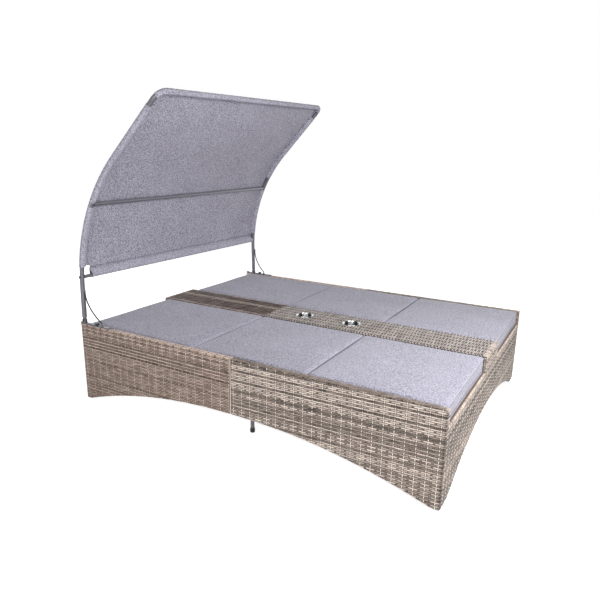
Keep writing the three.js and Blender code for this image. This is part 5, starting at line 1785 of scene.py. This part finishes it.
class DAYBED_OT_stage(bpy.types.Operator):
    """Set up the camera, the floor and plain soft studio light"""

    bl_idname = "daybed.stage"
    bl_label = "Stage"

    def execute(self, context):
        stage = context.scene.daybed_stage
        context.scene.view_settings.view_transform = "Standard"
        self.camera(context, stage)
        self.floor(context, stage)
        self.world(context, stage)
        for name, power, place, target, size in LAMPS:
            self.light(context, name, getattr(stage, power), place, target, size)
        return {"FINISHED"}

    def camera(self, context, stage):
        yaw, pitch, roll = stage.yaw, stage.pitch, stage.roll
        forward = Vector((math.cos(yaw) * math.cos(pitch), math.sin(yaw) * math.cos(pitch), -math.sin(pitch)))
        level = Vector((math.sin(yaw), -math.cos(yaw), 0.0))
        upward = level.cross(forward)
        right = level * math.cos(roll) + upward * math.sin(roll)
        top = upward * math.cos(roll) - level * math.sin(roll)
        data = bpy.data.cameras.new("Camera")
        data.lens = stage.lens
        data.sensor_width = 36.0
        camera = bpy.data.objects.new("Camera", data)
        context.scene.collection.objects.link(camera)
        turn = Matrix((right, top, -forward)).transposed()
        camera.matrix_world = Matrix.Translation(Vector(stage.place)) @ turn.to_4x4()
        context.scene.camera = camera

    def floor(self, context, stage):
        form = Form()
        form.add_grid([[(-12.0, -12.0, 0.0), (12.0, -12.0, 0.0)], [(-12.0, 12.0, 0.0), (12.0, 12.0, 0.0)]])
        floor = form.make("Floor")
        material = bpy.data.materials.new("Studio floor")
        material.use_nodes = True
        tree = material.node_tree
        tree.nodes.clear()
        diffuse = new_node(tree, "BsdfDiffuse", {"Color": stage.floor})
        strength = new_node(tree, "Math", {0: self.seen_rays(tree), 1: stage.glow}, operation="MULTIPLY")
        glow = new_node(tree, "Emission", {"Color": (1.0, 1.0, 1.0, 1.0), "Strength": strength.outputs[0]})
        both = new_node(tree, "AddShader", {0: diffuse.outputs[0], 1: glow.outputs[0]})
        new_node(tree, "OutputMaterial", {"Surface": both.outputs[0]})
        floor.data.materials.append(material)

    def seen_rays(self, tree):
        """One where a ray comes from the camera, a mirror or glass."""
        path = new_node(tree, "LightPath").outputs
        seen = path["Is Camera Ray"]
        for ray in ("Is Glossy Ray", "Is Transmission Ray"):
            seen = new_node(tree, "Math", {0: seen, 1: path[ray]}, operation="MAXIMUM").outputs[0]
        return seen

    def world(self, context, stage):
        world = bpy.data.worlds.new("Studio")
        context.scene.world = world
        world.use_nodes = True
        tree = world.node_tree
        background = tree.nodes["Background"]
        background.inputs["Color"].default_value = (1.0, 1.0, 1.0, 1.0)
        strength = new_node(
            tree, "MapRange", {"Value": self.seen_rays(tree), "To Min": stage.world, "To Max": 1.0}
        )
        tree.links.new(strength.outputs["Result"], background.inputs["Strength"])

    def light(self, context, name, power, place, target, size):
        data = bpy.data.lights.new(name, "AREA")
        data.energy = power
        data.shape = "DISK"
        data.size = size
        lamp = bpy.data.objects.new(name, data)
        context.scene.collection.objects.link(lamp)
        lamp.location = place
        lamp.rotation_euler = (Vector(target) - Vector(place)).to_track_quat("-Z", "Y").to_euler()


class DAYBED_PT_panel(bpy.types.Panel):
    """The daybed's steps and settings"""

    bl_idname = "DAYBED_PT_panel"
    bl_label = "Daybed"
    bl_space_type = "VIEW_3D"
    bl_region_type = "UI"
    bl_category = "Daybed"

    def draw(self, context):
        layout = self.layout
        for operator in OPERATORS:
            layout.operator(operator.bl_idname)
        for key, group in GROUPS.items():
            settings = getattr(context.scene, key)
            box = layout.box()
            for name in group.__annotations__:
                box.prop(settings, name)


OPERATORS = (
    DAYBED_OT_stage, DAYBED_OT_check_cords, DAYBED_OT_woven_panels, DAYBED_OT_console, DAYBED_OT_cup_holders,
    DAYBED_OT_frames, DAYBED_OT_legs, DAYBED_OT_cushions, DAYBED_OT_canopy_frame, DAYBED_OT_canopy_cloth,
    DAYBED_OT_hardware,
)
GROUPS = {
    "daybed_weave": DaybedWeaveSettings, "daybed_cloth": DaybedClothSettings,
    "daybed_metal": DaybedMetalSettings, "daybed_stage": DaybedStageSettings,
}


def register():
    for key, group in GROUPS.items():
        bpy.utils.register_class(group)
        setattr(bpy.types.Scene, key, bpy.props.PointerProperty(type=group))
    for made in (*OPERATORS, DAYBED_PT_panel):
        bpy.utils.register_class(made)


def unregister():
    for made in (DAYBED_PT_panel, *reversed(OPERATORS)):
        bpy.utils.unregister_class(made)
    for key, group in GROUPS.items():
        delattr(bpy.types.Scene, key)
        bpy.utils.unregister_class(group)


def main():
    register()
    bpy.ops.daybed.stage()
    bpy.ops.daybed.check_cords()
    bpy.ops.daybed.woven_panels()
    bpy.ops.daybed.console()
    bpy.ops.daybed.cup_holders()
    bpy.ops.daybed.frames()
    bpy.ops.daybed.legs()
    bpy.ops.daybed.cushions()
    bpy.ops.daybed.canopy_frame()
    bpy.ops.daybed.canopy_cloth()
    bpy.ops.daybed.hardware()


if __name__ == "__main__":
    main()
